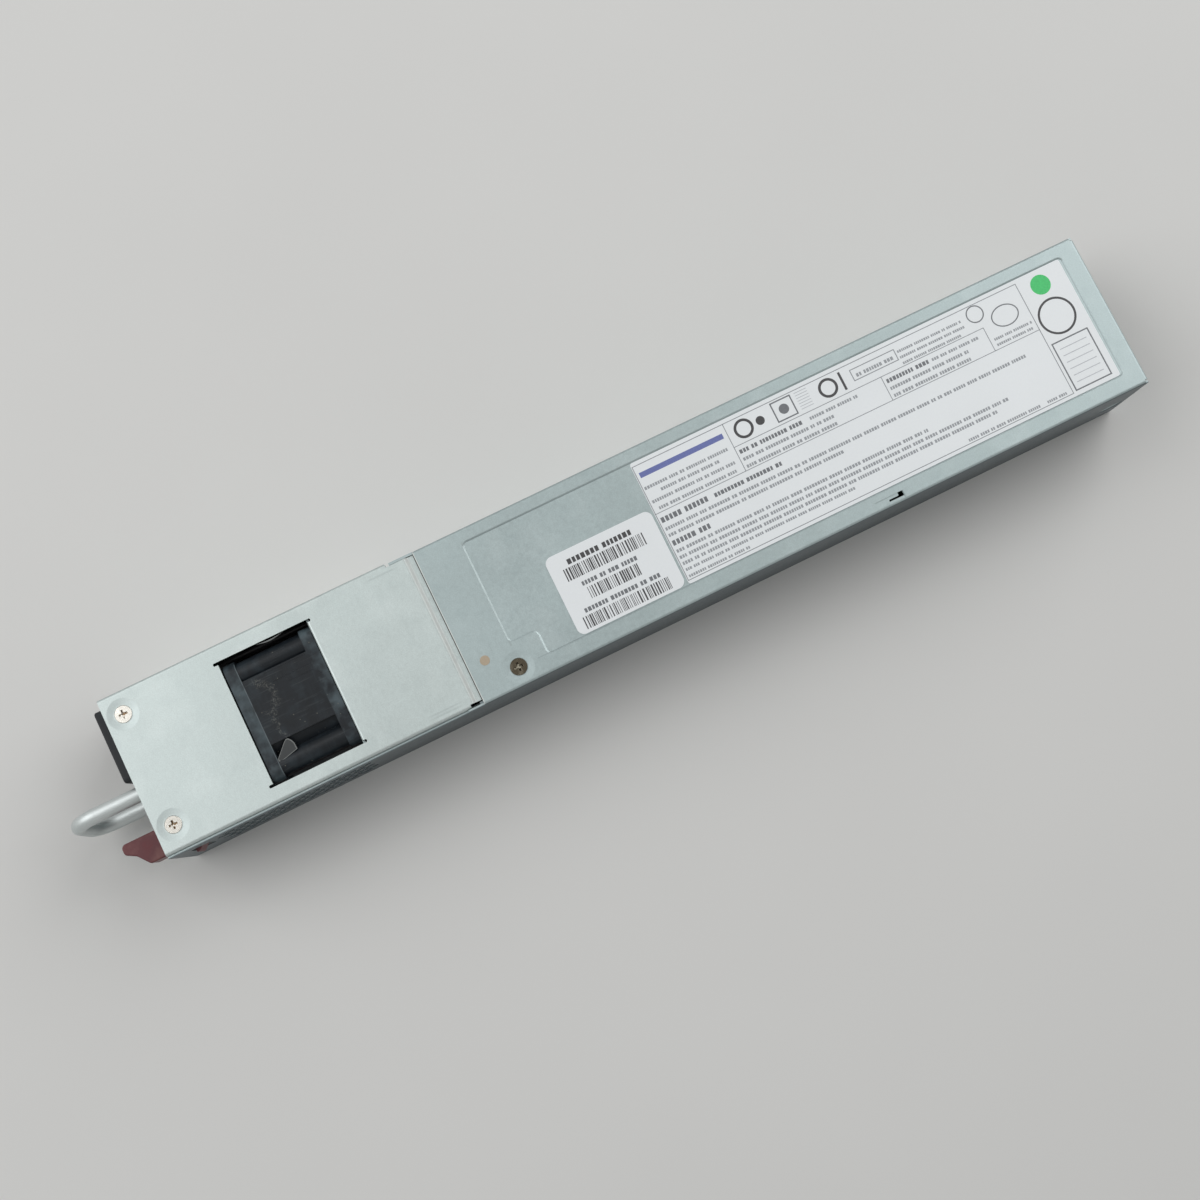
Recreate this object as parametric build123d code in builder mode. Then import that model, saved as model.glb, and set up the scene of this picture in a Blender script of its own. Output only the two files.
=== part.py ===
from build123d import *
import os
from math import atan2, degrees, sqrt

# Hot swap server power supply, in millimetres.
# X runs across the case, with the inlet on the -X side and the release latch on the +X side.
# Y runs along the case, from the handle end at the front to the output connector at the rear.
# Z points up, and the origin is the centre of the case's bottom face.

# Case
case_width = 54.5
case_height = 40.25
case_length = 350.0
sheet = 0.8  # thickness of the folded steel sheets
bend = 1.0  # outside radius of a fold
bend_inside = 0.25
lap_gap = 0.05  # between two sheets that lap over each other
fit_gap = 0.1  # between a sheet and a piece that drops in beside it
cover_edge_height = 0.3  # lower edges of the covers above the bottom face

half_width = case_width / 2
front = -case_length / 2
rear = case_length / 2
plate_under = case_height - sheet
tray_outer = half_width - sheet - lap_gap
tray_inner = tray_outer - sheet
tray_top = plate_under - bend_inside
tray_front = front + fit_gap
tray_rear = rear - sheet - fit_gap

# Front cover
front_cover_proud = 0.4  # its inlet side stands out this far beyond the rear cover
front_cover_lip = 4.25  # depth of the lip beside the latch side wall
front_flange_length = 100.0  # side flange on the inlet side
corner_notch_length = 5.5  # the plate runs this far past its flange
joggle_lead = 1.0  # from the notch to the step down under the rear cover
joggle_run = 1.2
joggle_bend = 1.2
joggle_to_seam = 2.0
tongue_overlap = 8.0  # behind the seam
tongue_wall_gap = 0.4

front_plate_length = front_flange_length + corner_notch_length
joggle_start = front_plate_length + joggle_lead
seam = front + joggle_start + joggle_run + joggle_to_seam
front_cover_left = -half_width - front_cover_proud
front_cover_right = tray_outer - lap_gap
lip_bottom = case_height - front_cover_lip
tongue_half_width = tray_inner - tongue_wall_gap
strip_left = 2 * lap_gap - tray_outer  # the plate's edge behind its flange
tongue_end = seam + tongue_overlap
tongue_top = plate_under - lap_gap
tongue_under = tongue_top - sheet

# Rear cover
tab_to_flange = 1.3  # between the front cover's flange and the tab behind it
tab_reach_inlet_side = seam - front - front_flange_length - tab_to_flange
tab_reach_latch_side = 5.5  # side tabs that reach forward of the seam
tab_top_drop = 0.35
front_wall_drop = 1.65  # latch side wall beside the front cover, below the top
rear_lip_depth = 7.0
corner_relief = 1.2

front_wall_top = case_height - front_wall_drop

# Stamped recess for the label
recess_depth = 0.3
recess_wall_run = 0.55  # the walls slope down over this width
recess_corner = 1.9
recess_from_seam = 15.3
recess_from_rear = 6.2
recess_margin_left = 4.25
recess_margin_right = 5.55
recess_step_width = 8.7  # the corner by the screw is left out of the recess
recess_step_length = 9.5
recess_left = recess_margin_left - half_width
recess_right = half_width - recess_margin_right
recess_step_x = recess_right - recess_step_width
recess_front = seam + recess_from_seam
recess_rear = rear - recess_from_rear

# L-shaped slot over a tab near the edge of the rear cover
slot_from_rear = 94.8
slot_length = 5.2
slot_width = 0.65
slot_margin = 2.4
slot_square = 1.7
slot_pad_depth = 0.25
slot_pad_length = 10.2
slot_pad_width = 2.0
slot_pad_lead = 4.8
slot_x = half_width - slot_margin

# Flat head screws in formed dimples
screw_head_radius = 2.75
screw_head_rim = 0.15
screw_shank_radius = 1.5
screw_length = 5.2
cross_length = 2.9
cross_width = 0.7
cross_depth = 0.9
dimple_radius = 5.2
dimple_floor_radius = 3.2
dimple_depth = 0.2
dimple_gap = 0.1  # between the underside of a dimple and the flange below it
flange_hole_radius = 2.1
nut_radius = 2.9
nut_height = 2.0
nut_hole_radius = 1.55
flange_top = plate_under - dimple_depth - dimple_gap
front_screw_from_front = 6.0
front_screw_margins = (7.05, 9.05)  # from the case's sides
rear_screw_margin = 6.25
rear_screw_from_seam = 14.8
side_screw_from_rear = 5.6
side_screw_z = 16.0
side_dimple_radius = 4.2
side_dimple_depth = half_width - sheet - dimple_gap - (tray_inner - fit_gap)

front_screw_x = (
    front_screw_margins[0] - half_width,
    half_width - front_screw_margins[1],
)
rear_screw_x = half_width - rear_screw_margin
front_screw_y = front + front_screw_from_front
rear_screw_y = seam + rear_screw_from_seam
side_screw_y = rear - side_screw_from_rear

# Tab of the tray under the rear cover's screw
screw_tab_reach = 8.8
screw_tab_half_length = 5.5

# Fan
fan_lift = 0.2  # underside of the fan above the bottom face
fan_top_gap = 0.25
fan_tall = case_height - fan_lift - fan_top_gap
fan_wider = 1.6  # the frame is this much wider than it is tall
fan_across = fan_tall + fan_wider
fan_deep = 30.2
fan_x = 0.15
fan_from_front = 39.7
fan_flange = 4.0
fan_corner = 3.8
fan_barrel_radius = fan_tall / 2 + 0.7
fan_bore_radius = fan_tall / 2 - 1.0
fan_post_radius = 3.9
fan_hole_spacing = fan_tall - 2 * fan_post_radius
fan_web_left = fan_tall * 0.332  # flat web along the top, to each side of the middle
fan_web_right = fan_tall * 0.224
fan_web_thickness = 0.8
fan_screw_radius = 1.5
fan_screw_grip = 8.0
fan_screw_head_radius = 2.4
fan_screw_head_height = 1.8
fan_base_radius = 11.5
fan_base_thickness = 2.6
fan_strut_width = 2.6
fan_strut_count = 4
bearing_radius = 3.0
bearing_bore_radius = 1.0
bearing_width = 2.3
bearing_tube_radius = 4.2
bearing_tube_length = 17.5
shaft_end_gap = 0.4
bearing_front_gap = 0.8
bearing_rear_gap = 0.5
magnet_set_back = 1.0
stator_set_back = 1.4
bearing_tube_floor = 1.2
shaft_clearance = 0.03
hub_radius = 11.0
hub_wall = 1.3
hub_end_wall = 1.5
hub_gap = 1.0  # between the hub and the fan's base
hub_boss_radius = 2.4
hub_boss_length = 3.0
hub_set_back = 2.0  # end of the hub behind the rear face of the fan
blade_count = 7
blade_tip_gap = 0.55
blade_thickness = 1.2
blade_root_chord = 21.0
blade_tip_chord = 24.0
blade_root_angle = 32.0  # from the axis
blade_tip_angle = 52.0
magnet_thickness = 0.8
magnet_length = 11.5
stator_radius = 8.5
stator_length = 10.0
stator_rim = 1.1
stator_core_radius = 5.4
stator_pole_width = 2.4
stator_slot = 1.2

fan_z = fan_lift + fan_tall / 2
fan_front = front + fan_from_front
fan_rear = fan_front + fan_deep
fan_axis = Axis((fan_x, 0, fan_z), (0, 1, 0))
fan_hole_points = [
    (fan_x + i * fan_hole_spacing / 2, fan_z + j * fan_hole_spacing / 2)
    for i in (-1, 1)
    for j in (-1, 1)
]

# Window over the fan, in the front cover and in the tray's floor
window_from_front = 39.2
window_length = 30.8
window_margin_left = 5.05
window_margin_right = 5.85
window_slit = 1.0
window_slit_overrun = 1.5
window_lip_depth = 1.6
window_lip_bend = 0.9
window_left = window_margin_left - half_width
window_right = half_width - window_margin_right
window_front = front + window_from_front
window_rear = window_front + window_length

# Fan bulkhead
bulkhead_top = tray_top - 0.8
bulkhead_opening = fan_bore_radius + 0.3
bulkhead_foot = 3.0
bulkhead_notch_low = 6.0
bulkhead_notch_drop = 4.25
bulkhead_notch_gap = 0.8  # beside the fan
bulkhead_notch_high = case_height - bulkhead_notch_drop
bulkhead_rear = fan_rear + sheet

# Front panel
panel_set_back = 0.4
panel_flange_reach = 13.6
panel_foot_reach = 9.8
panel_y = front + panel_set_back
panel_back = panel_y + sheet
panel_half_width = tray_inner - fit_gap

# Hexagonal vents
vent_flat = 4.2
vent_web = 1.1
side_vent_from_front = 16.4
side_vent_columns = 10
side_vent_low = 9.5
side_vent_rows = 6
front_vent_margin = 13.75  # first hole of the group below the latch, from the side
front_vent_low = 7.0
front_vent_columns = 3
front_vent_rows = 2

vent_pitch = vent_flat + vent_web
vent_row_pitch = vent_pitch * sqrt(3) / 2
vent_radius = vent_flat / sqrt(3)

# Inlet
inlet_margin = 14.25
inlet_x = inlet_margin - half_width
inlet_z = case_height / 2
inlet_flange_width = 24.8
inlet_flange_height = 31.0
inlet_flange_depth = 4.0
inlet_flange_corner = 1.5
inlet_flange_edge = 0.6
inlet_body_width = 20.0
inlet_body_height = 27.0
inlet_body_depth = 22.6
inlet_cavity_width = 16.4
inlet_cavity_height = 24.2
inlet_cavity_depth = 18.0
inlet_cavity_chamfer = 4.6
inlet_clearance = 0.15
pin_width = 4.0
pin_thickness = 2.0
pin_length = 12.5
pin_spacing = 14.0
pin_offset = 2.0
pin_tip_chamfer = 0.5
terminal_thickness = 0.8
terminal_length = 6.0
lead_radius = 1.2
lead_bend_share = 0.63  # of the lowest lead's drop to the board
lead_turn_gap = 5.0
lead_wall_gap = 1.3
lead_landings = (3.0, 8.0, 13.0)  # behind the board's front edge

inlet_face = panel_y - inlet_flange_depth
inlet_back = panel_y + inlet_body_depth

# Pull handle
handle_rod_radius = 2.5
handle_reach = 27.4  # from the panel to the outside of the bend
handle_bend = 8.0
handle_from_inlet = 17.1
handle_lean = 1.6  # the lower leg stands further from the inlet
handle_spread = 26.0
handle_top_x = inlet_x + handle_from_inlet
handle_low_x = handle_top_x + handle_lean
handle_top_z = (case_height + handle_spread) / 2
handle_low_z = (case_height - handle_spread) / 2
handle_hole_radius = 1.5
handle_hole_depth = 8.0
handle_hole_spare = 1.0  # the bore is this much deeper than its screw
handle_screw_head_radius = 2.8
handle_screw_head_height = 1.8
handle_panel_hole_radius = 1.7

# Release latch
latch_above_middle = 0.4
latch_height = 9.0
latch_width = 9.3
latch_margin = 1.95
latch_reach = 14.7  # from the panel to the tip
latch_tip_width = 3.3
latch_tip_radius = 1.5
latch_shoulder_run = 1.9
latch_shoulder_length = 3.4
latch_flank_length = 6.6
latch_arm_start = 8.0
latch_arm_taper = 5.4
latch_pivot_margin = 6.05
latch_pivot_from_panel = 24.6
latch_end_radius = 3.0
latch_tooth_reach = 1.25  # beyond the case
latch_tooth_root = 1.0
latch_tooth_back = 9.0
latch_tooth_from_panel = 6.4
latch_tooth_flat = 1.0
latch_tooth_length = 4.4
latch_pin_head_step = 0.7
latch_pin_radius = 1.25
latch_pin_clearance = 0.05
latch_opening_width = 15.25
latch_opening_gap = 0.5
latch_slot_front_gap = 1.4
latch_slot_rear_gap = 0.8
latch_low = case_height / 2 + latch_above_middle
latch_top = latch_low + latch_height
latch_outer_x = half_width - latch_margin
latch_inner_x = latch_outer_x - latch_width
latch_pivot_x = half_width - latch_pivot_margin
latch_opening_x = half_width - latch_opening_width
latch_tooth_tip_x = half_width + latch_tooth_reach
latch_pivot_y = panel_y + latch_pivot_from_panel
latch_tooth_y = panel_y + latch_tooth_from_panel

# Latch bracket and spring
bracket_gap = 0.3
bracket_half_length = 4.0
bracket_reach = 7.2
bracket_back_reach = 11.1
spring_strip = 0.4
spring_width = 6.0
spring_foot = 3.0
spring_length = 16.0
spring_gap = 0.3

# Status light
light_margin = 15.75
light_drop = 6.25
light_radius = 1.5
light_proud = 0.8
light_flange_radius = 2.1
light_flange = 1.0
light_length = 5.5
light_board_width = 7.0
light_board_height = 5.0
light_board_thickness = 1.0
light_board_above = 2.0
light_lead_radius = 0.9
light_lead_bend = 3.0
light_lead_run = 7.0
light_lead_wall_gap = 2.4
light_lead_landing = 13.0
light_x = half_width - light_margin
light_z = case_height - light_drop
light_lead_x = tray_inner - light_lead_wall_gap

# Main board
board_thickness = 1.6
board_height = 5.0  # underside above the bottom face
board_edge_gap = 1.0
board_from_bulkhead = 5.3
board_from_rear = 8.0
standoff_radius = 2.6
standoff_bore = 1.3
board_screw_head_radius = 2.75
board_screw_head_height = 1.8
board_hole_radius = 1.6
insulator_thickness = 0.3
insulator_edge_gap = 0.6
insulator_end_gap = 1.5
insulator_hole_radius = 3.2

board_top = board_height + board_thickness
board_front = bulkhead_rear + board_from_bulkhead
board_rear = rear - board_from_rear
across_board = tray_inner - board_edge_gap  # from the middle to each side
along_board = board_rear - board_front
above_board = plate_under - board_top
standoff_points = [
    (side * across_board * out, board_front + along_board * share)
    for out, share in ((0.49, 0.013), (0.83, 0.485), (0.83, 0.9))
    for side in (-1, 1)
]

# Rear panel
rear_panel_face = tray_rear - fit_gap
rear_panel_back = rear_panel_face - sheet
rear_flange_reach = 13.0
rear_flange_low = 8.0
rear_flange_high = 34.0
rear_foot_reach = 8.0
rear_vent_radius = 1.7
rear_vent_pitch = 4.6
rear_vent_columns = 10
rear_vent_rows = 4
rear_vent_low = 22.4

# Output connector
connector_half_width = across_board - 5.1
connector_height = 12.0
connector_mouth_chamfer = 0.5
connector_depth = 25.0
connector_recess_half_width = connector_half_width - 1.5
connector_recess_low = 2.0
connector_recess_height = 8.0
connector_recess_depth = 12.0
blade_contact_thickness = 1.2
blade_contact_height = 5.4
blade_contact_length = 7.0
blade_contact_tail = 5.0
blade_contact_count = 5
blade_contact_pitch = 2.6
blade_tail_gap = 1.0
signal_pin_tail = 2.0
blade_contact_margin = 2.0  # first blade from the recess's side
signal_pin_size = 0.64
signal_pin_pitch = 2.0
signal_pin_columns = 5
signal_pin_rows = 3
signal_margin = 4.0
connector_panel_gap = 0.2
connector_set_back = 0.3
connector_rear = rear - connector_set_back
blade_contact_x = [
    blade_contact_margin + index * blade_contact_pitch - connector_recess_half_width
    for index in range(blade_contact_count)
]
signal_x = (
    connector_recess_half_width
    - signal_margin
    - signal_pin_pitch * (signal_pin_columns - 1)
)
connector_front = connector_rear - connector_depth
connector_recess_floor = connector_rear - connector_recess_depth
connector_recess_mid = board_top + connector_recess_low + connector_recess_height / 2

# Labels
label_thickness = 0.12
rating_label_from_recess = 1.3
rating_label_share = 0.72  # of the recess's length
label_wall_gap = 0.05  # from the foot of the recess's walls
rating_label_corner = 0.9
id_label_share = 0.173
id_label_width = 27.3
id_label_gap = 0.8  # to the rating label
id_label_margin = 0.75
id_label_corner = 2.5
paint_dot_radius = 1.6
paint_dot_margin = 12.75
paint_dot_from_seam = 6.0
rating_label_left = recess_left + recess_wall_run + label_wall_gap
rating_label_right = recess_right - recess_wall_run - label_wall_gap
rating_label_rear = recess_rear - rating_label_from_recess
rating_label_length = (recess_rear - recess_front) * rating_label_share
id_label_length = (recess_rear - recess_front) * id_label_share
id_label_right = recess_right - id_label_margin
id_label_left = id_label_right - id_label_width
id_label_rear = rating_label_rear - rating_label_length - id_label_gap
paint_dot_x = half_width - paint_dot_margin
recess_floor = case_height - recess_depth


def facing_front(x, y, z):
    """A plane that faces -Y, with X to the right and Z up. A negative extrusion runs to the rear."""
    return Plane(origin=(x, y, z), x_dir=(1, 0, 0), z_dir=(0, -1, 0))


def facing_side(x, y, z):
    """A plane that faces +X, with Y to the right and Z up."""
    return Plane(origin=(x, y, z), x_dir=(0, 1, 0), z_dir=(1, 0, 0))


def block(x_span, y_span, z_span, mode=Mode.ADD):
    """A box between two faces along each axis, added to or cut from the part being built."""
    corner = (x_span[0], y_span[0], z_span[0])
    size = [span[1] - span[0] for span in (x_span, y_span, z_span)]
    with Locations(corner):
        Box(*size, align=(Align.MIN, Align.MIN, Align.MIN), mode=mode)


def finish(builder, name):
    """Labels a finished piece and writes it as a STEP file."""
    builder.part.label = name
    export_step(builder.part, f"parts/{name}.step")


def hexagon_grid(columns, rows):
    """Centres of a staggered grid of vents, with the first hole at the origin."""
    return [
        (column * vent_pitch + (row % 2) * vent_pitch / 2, row * vent_row_pitch)
        for row in range(rows)
        for column in range(columns)
    ]


def side_vents(x_low, x_high):
    """Cuts the vents of the latch side wall through the part being built."""
    with BuildSketch(
        facing_side(x_low, front + side_vent_from_front, side_vent_low)
    ) as holes:
        with Locations(*hexagon_grid(side_vent_columns, side_vent_rows)):
            RegularPolygon(vent_radius, 6, rotation=30)
    extrude(holes.sketch, amount=x_high - x_low, mode=Mode.SUBTRACT)


def latch_slot(x_low, x_high):
    """Cuts the slot for the latch tooth through the part being built."""
    block(
        (x_low, x_high),
        (
            latch_tooth_y - latch_slot_front_gap,
            latch_tooth_y + latch_tooth_length + latch_slot_rear_gap,
        ),
        (latch_low - latch_opening_gap, latch_top + latch_opening_gap),
        Mode.SUBTRACT,
    )


def dimple(location, radius, depth):
    """Forms a dimple with a countersunk hole in the sheet whose outer face is at the location."""
    hole_top = screw_head_radius + screw_head_rim
    hole_end = hole_top - sheet
    with Locations(location):
        with Locations((0, 0, -sheet - depth)):
            Cylinder(
                dimple_floor_radius + sheet,
                depth,
                align=(Align.CENTER, Align.CENTER, Align.MIN),
            )
        with Locations((0, 0, -depth)):
            Cone(
                dimple_floor_radius,
                radius,
                depth,
                align=(Align.CENTER, Align.CENTER, Align.MIN),
                mode=Mode.SUBTRACT,
            )
        with Locations((0, 0, -sheet - depth)):
            Cone(
                hole_end,
                hole_top,
                sheet,
                align=(Align.CENTER, Align.CENTER, Align.MIN),
                mode=Mode.SUBTRACT,
            )


def stepped_strip(x_span, end_y):
    """The front cover's step down under the rear cover, over an X span and as far as end_y."""
    step_y = front + joggle_start
    with BuildSketch(facing_side(x_span[0], 0, 0)) as section:
        with BuildLine():
            Polyline(
                (front + front_flange_length, plate_under),
                (step_y, plate_under),
                (step_y + joggle_run, tongue_under),
                (end_y, tongue_under),
                (end_y, tongue_top),
                (step_y + joggle_run, tongue_top),
                (step_y, case_height),
                (front + front_flange_length, case_height),
                close=True,
            )
        make_face()
        bends = section.vertices().filter_by(
            lambda v: step_y - fit_gap < v.X < step_y + joggle_run + fit_gap
        )
        fillet(bends, radius=joggle_bend)
    extrude(section.sketch, amount=x_span[1] - x_span[0])


def lead(points, bends, radius):
    """An insulated lead along straight runs joined by arcs."""
    with BuildPart() as made:
        with BuildLine() as route:
            FilletPolyline(*points, radius=bends)
        start_direction = Vector(*points[1]) - Vector(*points[0])
        with BuildSketch(Plane(origin=points[0], z_dir=start_direction)) as section:
            Circle(radius)
        sweep(section.sketch, path=route.line)
    return made.part


os.makedirs("parts", exist_ok=True)

# Places of the flat head screws, each with its head's outer face up along local Z
front_screw_places = [
    Location((x, front_screw_y, case_height)) for x in front_screw_x
]
rear_screw_place = Location((rear_screw_x, rear_screw_y, case_height))
side_screw_places = [
    Location((half_width, side_screw_y, side_screw_z), (0, 90, 0)),
    Location((-half_width, side_screw_y, side_screw_z), (0, -90, 0)),
]


# Base tray: the floor and both inner side walls
with BuildPart() as base_tray:
    with BuildSketch(facing_front(0, tray_front, 0)) as channel:
        Rectangle(2 * tray_outer, tray_top, align=(Align.CENTER, Align.MIN))
        fillet(channel.vertices().group_by(Axis.Y)[0], radius=bend)
        with Locations((0, sheet)):
            Rectangle(
                2 * tray_inner,
                tray_top,
                align=(Align.CENTER, Align.MIN),
                mode=Mode.SUBTRACT,
            )
    extrude(amount=tray_front - tray_rear)
    # the latch side wall is lower beside the front cover's lip
    block(
        (tray_inner - fit_gap, half_width),
        (tray_front, seam - joggle_run),
        (lip_bottom - lap_gap, case_height),
        Mode.SUBTRACT,
    )
    # the inlet side wall is lower under the front cover's step
    block(
        (-half_width, fit_gap - tray_inner),
        (front + joggle_start, seam),
        (tongue_under - lap_gap, case_height),
        Mode.SUBTRACT,
    )
    block(
        (window_left, window_right),
        (window_front, window_rear),
        (0, sheet),
        Mode.SUBTRACT,
    )
    side_vents(tray_inner - fit_gap, half_width)
    latch_slot(tray_inner - fit_gap, half_width)
    # tab under the rear cover's screw
    block(
        (tray_inner - screw_tab_reach, tray_inner),
        (rear_screw_y - screw_tab_half_length, rear_screw_y + screw_tab_half_length),
        (flange_top - sheet, flange_top),
    )
    with Locations((rear_screw_x, rear_screw_y, flange_top)):
        Cylinder(flange_hole_radius, 4 * sheet, mode=Mode.SUBTRACT)
    with Locations(*side_screw_places):
        Cylinder(side_dimple_radius + sheet, 6 * sheet, mode=Mode.SUBTRACT)
finish(base_tray, "base_tray")


# Rear cover: the top over the rear two thirds, with both side walls
with BuildPart() as rear_cover:
    with BuildSketch(facing_front(0, seam, 0)) as wrap:
        with Locations((0, cover_edge_height)):
            Rectangle(
                case_width,
                case_height - cover_edge_height,
                align=(Align.CENTER, Align.MIN),
            )
        fillet(wrap.vertices().group_by(Axis.Y)[-1], radius=bend)
        Rectangle(
            case_width - 2 * sheet,
            plate_under,
            align=(Align.CENTER, Align.MIN),
            mode=Mode.SUBTRACT,
        )
        fillet(
            wrap.vertices().filter_by(lambda v: abs(v.Y - plate_under) < fit_gap),
            radius=bend_inside,
        )
    extrude(amount=seam - rear)
    # lip folded down over the rear panel, with a relief cut at each corner
    block(
        (corner_relief - half_width, half_width - corner_relief),
        (rear - sheet, rear),
        (plate_under - rear_lip_depth, plate_under + sheet / 2),
    )
    for x_span in (
        (-half_width, corner_relief - half_width),
        (half_width - corner_relief, half_width),
    ):
        block(
            x_span,
            (rear - corner_relief, rear),
            (case_height - corner_relief, case_height),
            Mode.SUBTRACT,
        )
    lip_fold = (
        rear_cover.edges()
        .filter_by(Axis.X)
        .filter_by(lambda e: abs(e.center().Y - rear) < fit_gap)
        .sort_by(Axis.Z)[-1]
    )
    fillet(lip_fold, radius=bend)
    # side walls and tabs forward of the seam
    block(
        (half_width - sheet, half_width),
        (front, seam),
        (cover_edge_height, front_wall_top),
    )
    block(
        (half_width - sheet, half_width),
        (seam - tab_reach_latch_side, seam),
        (front_wall_top, case_height - tab_top_drop),
    )
    block(
        (-half_width, sheet - half_width),
        (seam - tab_reach_inlet_side, seam),
        (cover_edge_height, case_height - tab_top_drop),
    )
    side_vents(tray_outer, half_width + fit_gap)
    latch_slot(tray_outer, half_width + fit_gap)
    # stamped recess: metal formed down below the plate, then the hollow above it
    with BuildSketch(Plane.XY.offset(case_height)) as recess:
        with BuildLine():
            Polyline(
                (recess_left, recess_front),
                (recess_step_x, recess_front),
                (recess_step_x, recess_front + recess_step_length),
                (recess_right, recess_front + recess_step_length),
                (recess_right, recess_rear),
                (recess_left, recess_rear),
                close=True,
            )
        make_face()
        fillet(recess.vertices(), radius=recess_corner)
    with BuildSketch(Plane.XY.offset(recess_floor)) as recess_base:
        add(recess.sketch_local)
        offset(amount=-recess_wall_run)
    with BuildSketch(Plane.XY.offset(plate_under)) as formed:
        add(recess.sketch_local)
    extrude(formed.sketch, amount=-recess_depth)
    loft([recess.sketch, recess_base.sketch], ruled=True, mode=Mode.SUBTRACT)
    dimple(rear_screw_place, dimple_radius, dimple_depth)
    for place in side_screw_places:
        dimple(place, side_dimple_radius, side_dimple_depth)
    # shallow pad and L-shaped slot
    slot_start = rear - slot_from_rear
    block(
        (slot_x - slot_pad_width / 2, half_width - bend),
        (slot_start - slot_pad_lead, slot_start - slot_pad_lead + slot_pad_length),
        (case_height - slot_pad_depth, case_height),
        Mode.SUBTRACT,
    )
    block(
        (slot_x, slot_x + slot_width),
        (slot_start, slot_start + slot_length),
        (plate_under - sheet, case_height),
        Mode.SUBTRACT,
    )
    block(
        (slot_x + slot_width - slot_square, slot_x + slot_width),
        (slot_start + slot_length - slot_square, slot_start + slot_length),
        (plate_under - sheet, case_height),
        Mode.SUBTRACT,
    )
finish(rear_cover, "rear_cover")


# Front cover: the lid over the fan, with a tongue that tucks under the rear cover
with BuildPart() as front_cover:
    with BuildSketch(facing_front(0, front, 0)) as lid:
        with BuildLine():
            Polyline(
                (front_cover_left, cover_edge_height),
                (front_cover_left + sheet, cover_edge_height),
                (front_cover_left + sheet, plate_under),
                (front_cover_right - sheet, plate_under),
                (front_cover_right - sheet, lip_bottom),
                (front_cover_right, lip_bottom),
                (front_cover_right, case_height),
                (front_cover_left, case_height),
                close=True,
            )
        make_face()
        fillet(lid.vertices().group_by(Axis.Y)[-1], radius=bend)
    extrude(amount=-front_flange_length)
    # the inlet side wall ends before the top plate does
    with BuildSketch(facing_front(0, front + front_flange_length, 0)) as edge_strip:
        with BuildLine():
            Polyline(
                (strip_left, plate_under),
                (front_cover_right - sheet, plate_under),
                (front_cover_right - sheet, lip_bottom),
                (front_cover_right, lip_bottom),
                (front_cover_right, case_height),
                (strip_left, case_height),
                close=True,
            )
        make_face()
        fillet(
            edge_strip.vertices().group_by(Axis.Y)[-1].sort_by(Axis.X)[-1],
            radius=bend,
        )
    extrude(edge_strip.sketch, amount=front_flange_length - front_plate_length)
    # step down under the rear cover, and the narrower tongue behind the seam
    stepped_strip((strip_left, -tongue_half_width), seam - lap_gap)
    stepped_strip((-tongue_half_width, tongue_half_width), tongue_end)
    # window, its relief slits and its folded lips
    block(
        (window_left + window_slit, window_right - window_slit),
        (window_front - sheet, window_rear + sheet),
        (case_height - window_lip_depth, plate_under),
    )
    block(
        (window_left, window_right),
        (window_front, window_rear),
        (case_height - window_lip_depth, case_height),
        Mode.SUBTRACT,
    )
    for slit_x in (window_left, window_right - window_slit):
        with BuildSketch(Plane.XY.offset(case_height)) as slit:
            with Locations(
                (slit_x + window_slit / 2, (window_front + window_rear) / 2)
            ):
                SlotOverall(
                    window_length + 2 * window_slit_overrun, window_slit, rotation=90
                )
        extrude(slit.sketch, amount=-window_lip_depth, mode=Mode.SUBTRACT)
    # the rear lip is bent down smoothly, and the front one is sharp
    rear_lip_edge = (
        front_cover.edges()
        .filter_by(Axis.X)
        .filter_by(lambda e: abs(e.center().Z - case_height) < fit_gap)
        .filter_by(lambda e: abs(e.center().Y - window_rear) < fit_gap)
    )
    fillet(rear_lip_edge, radius=window_lip_bend)
    for place in front_screw_places:
        dimple(place, dimple_radius, dimple_depth)
finish(front_cover, "front_cover")


# Flat head screw and clinch nut, modelled once at the origin with the head's outer face up
with BuildPart() as flat_screw:
    head_cone = screw_head_radius - screw_shank_radius
    with Locations((0, 0, -screw_head_rim)):
        Cylinder(
            screw_head_radius,
            screw_head_rim,
            align=(Align.CENTER, Align.CENTER, Align.MIN),
        )
    with Locations((0, 0, -screw_head_rim - head_cone)):
        Cone(
            screw_shank_radius,
            screw_head_radius,
            head_cone,
            align=(Align.CENTER, Align.CENTER, Align.MIN),
        )
    with Locations((0, 0, -screw_length)):
        Cylinder(
            screw_shank_radius,
            screw_length - screw_head_rim,
            align=(Align.CENTER, Align.CENTER, Align.MIN),
        )
    for cross in ((cross_length, cross_width), (cross_width, cross_length)):
        Box(*cross, 2 * cross_depth, mode=Mode.SUBTRACT)

with BuildPart() as clinch_nut:
    with BuildSketch():
        RegularPolygon(nut_radius, 6)
        Circle(nut_hole_radius, mode=Mode.SUBTRACT)
    extrude(amount=-nut_height)

head_sink = Location((0, 0, -dimple_depth))
side_head_sink = Location((0, 0, -side_dimple_depth))
nut_sink = Location((0, 0, -2 * sheet - dimple_depth - dimple_gap))
side_nut_sink = Location((0, 0, -2 * sheet - side_dimple_depth - dimple_gap))

with BuildPart() as front_cover_screws:
    for place in front_screw_places:
        add(place * head_sink * flat_screw.part)
finish(front_cover_screws, "front_cover_screws")

with BuildPart() as rear_cover_screw:
    add(rear_screw_place * head_sink * flat_screw.part)
finish(rear_cover_screw, "rear_cover_screw")

with BuildPart() as side_screws:
    for place in side_screw_places:
        add(place * side_head_sink * flat_screw.part)
finish(side_screws, "side_screws")

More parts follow.
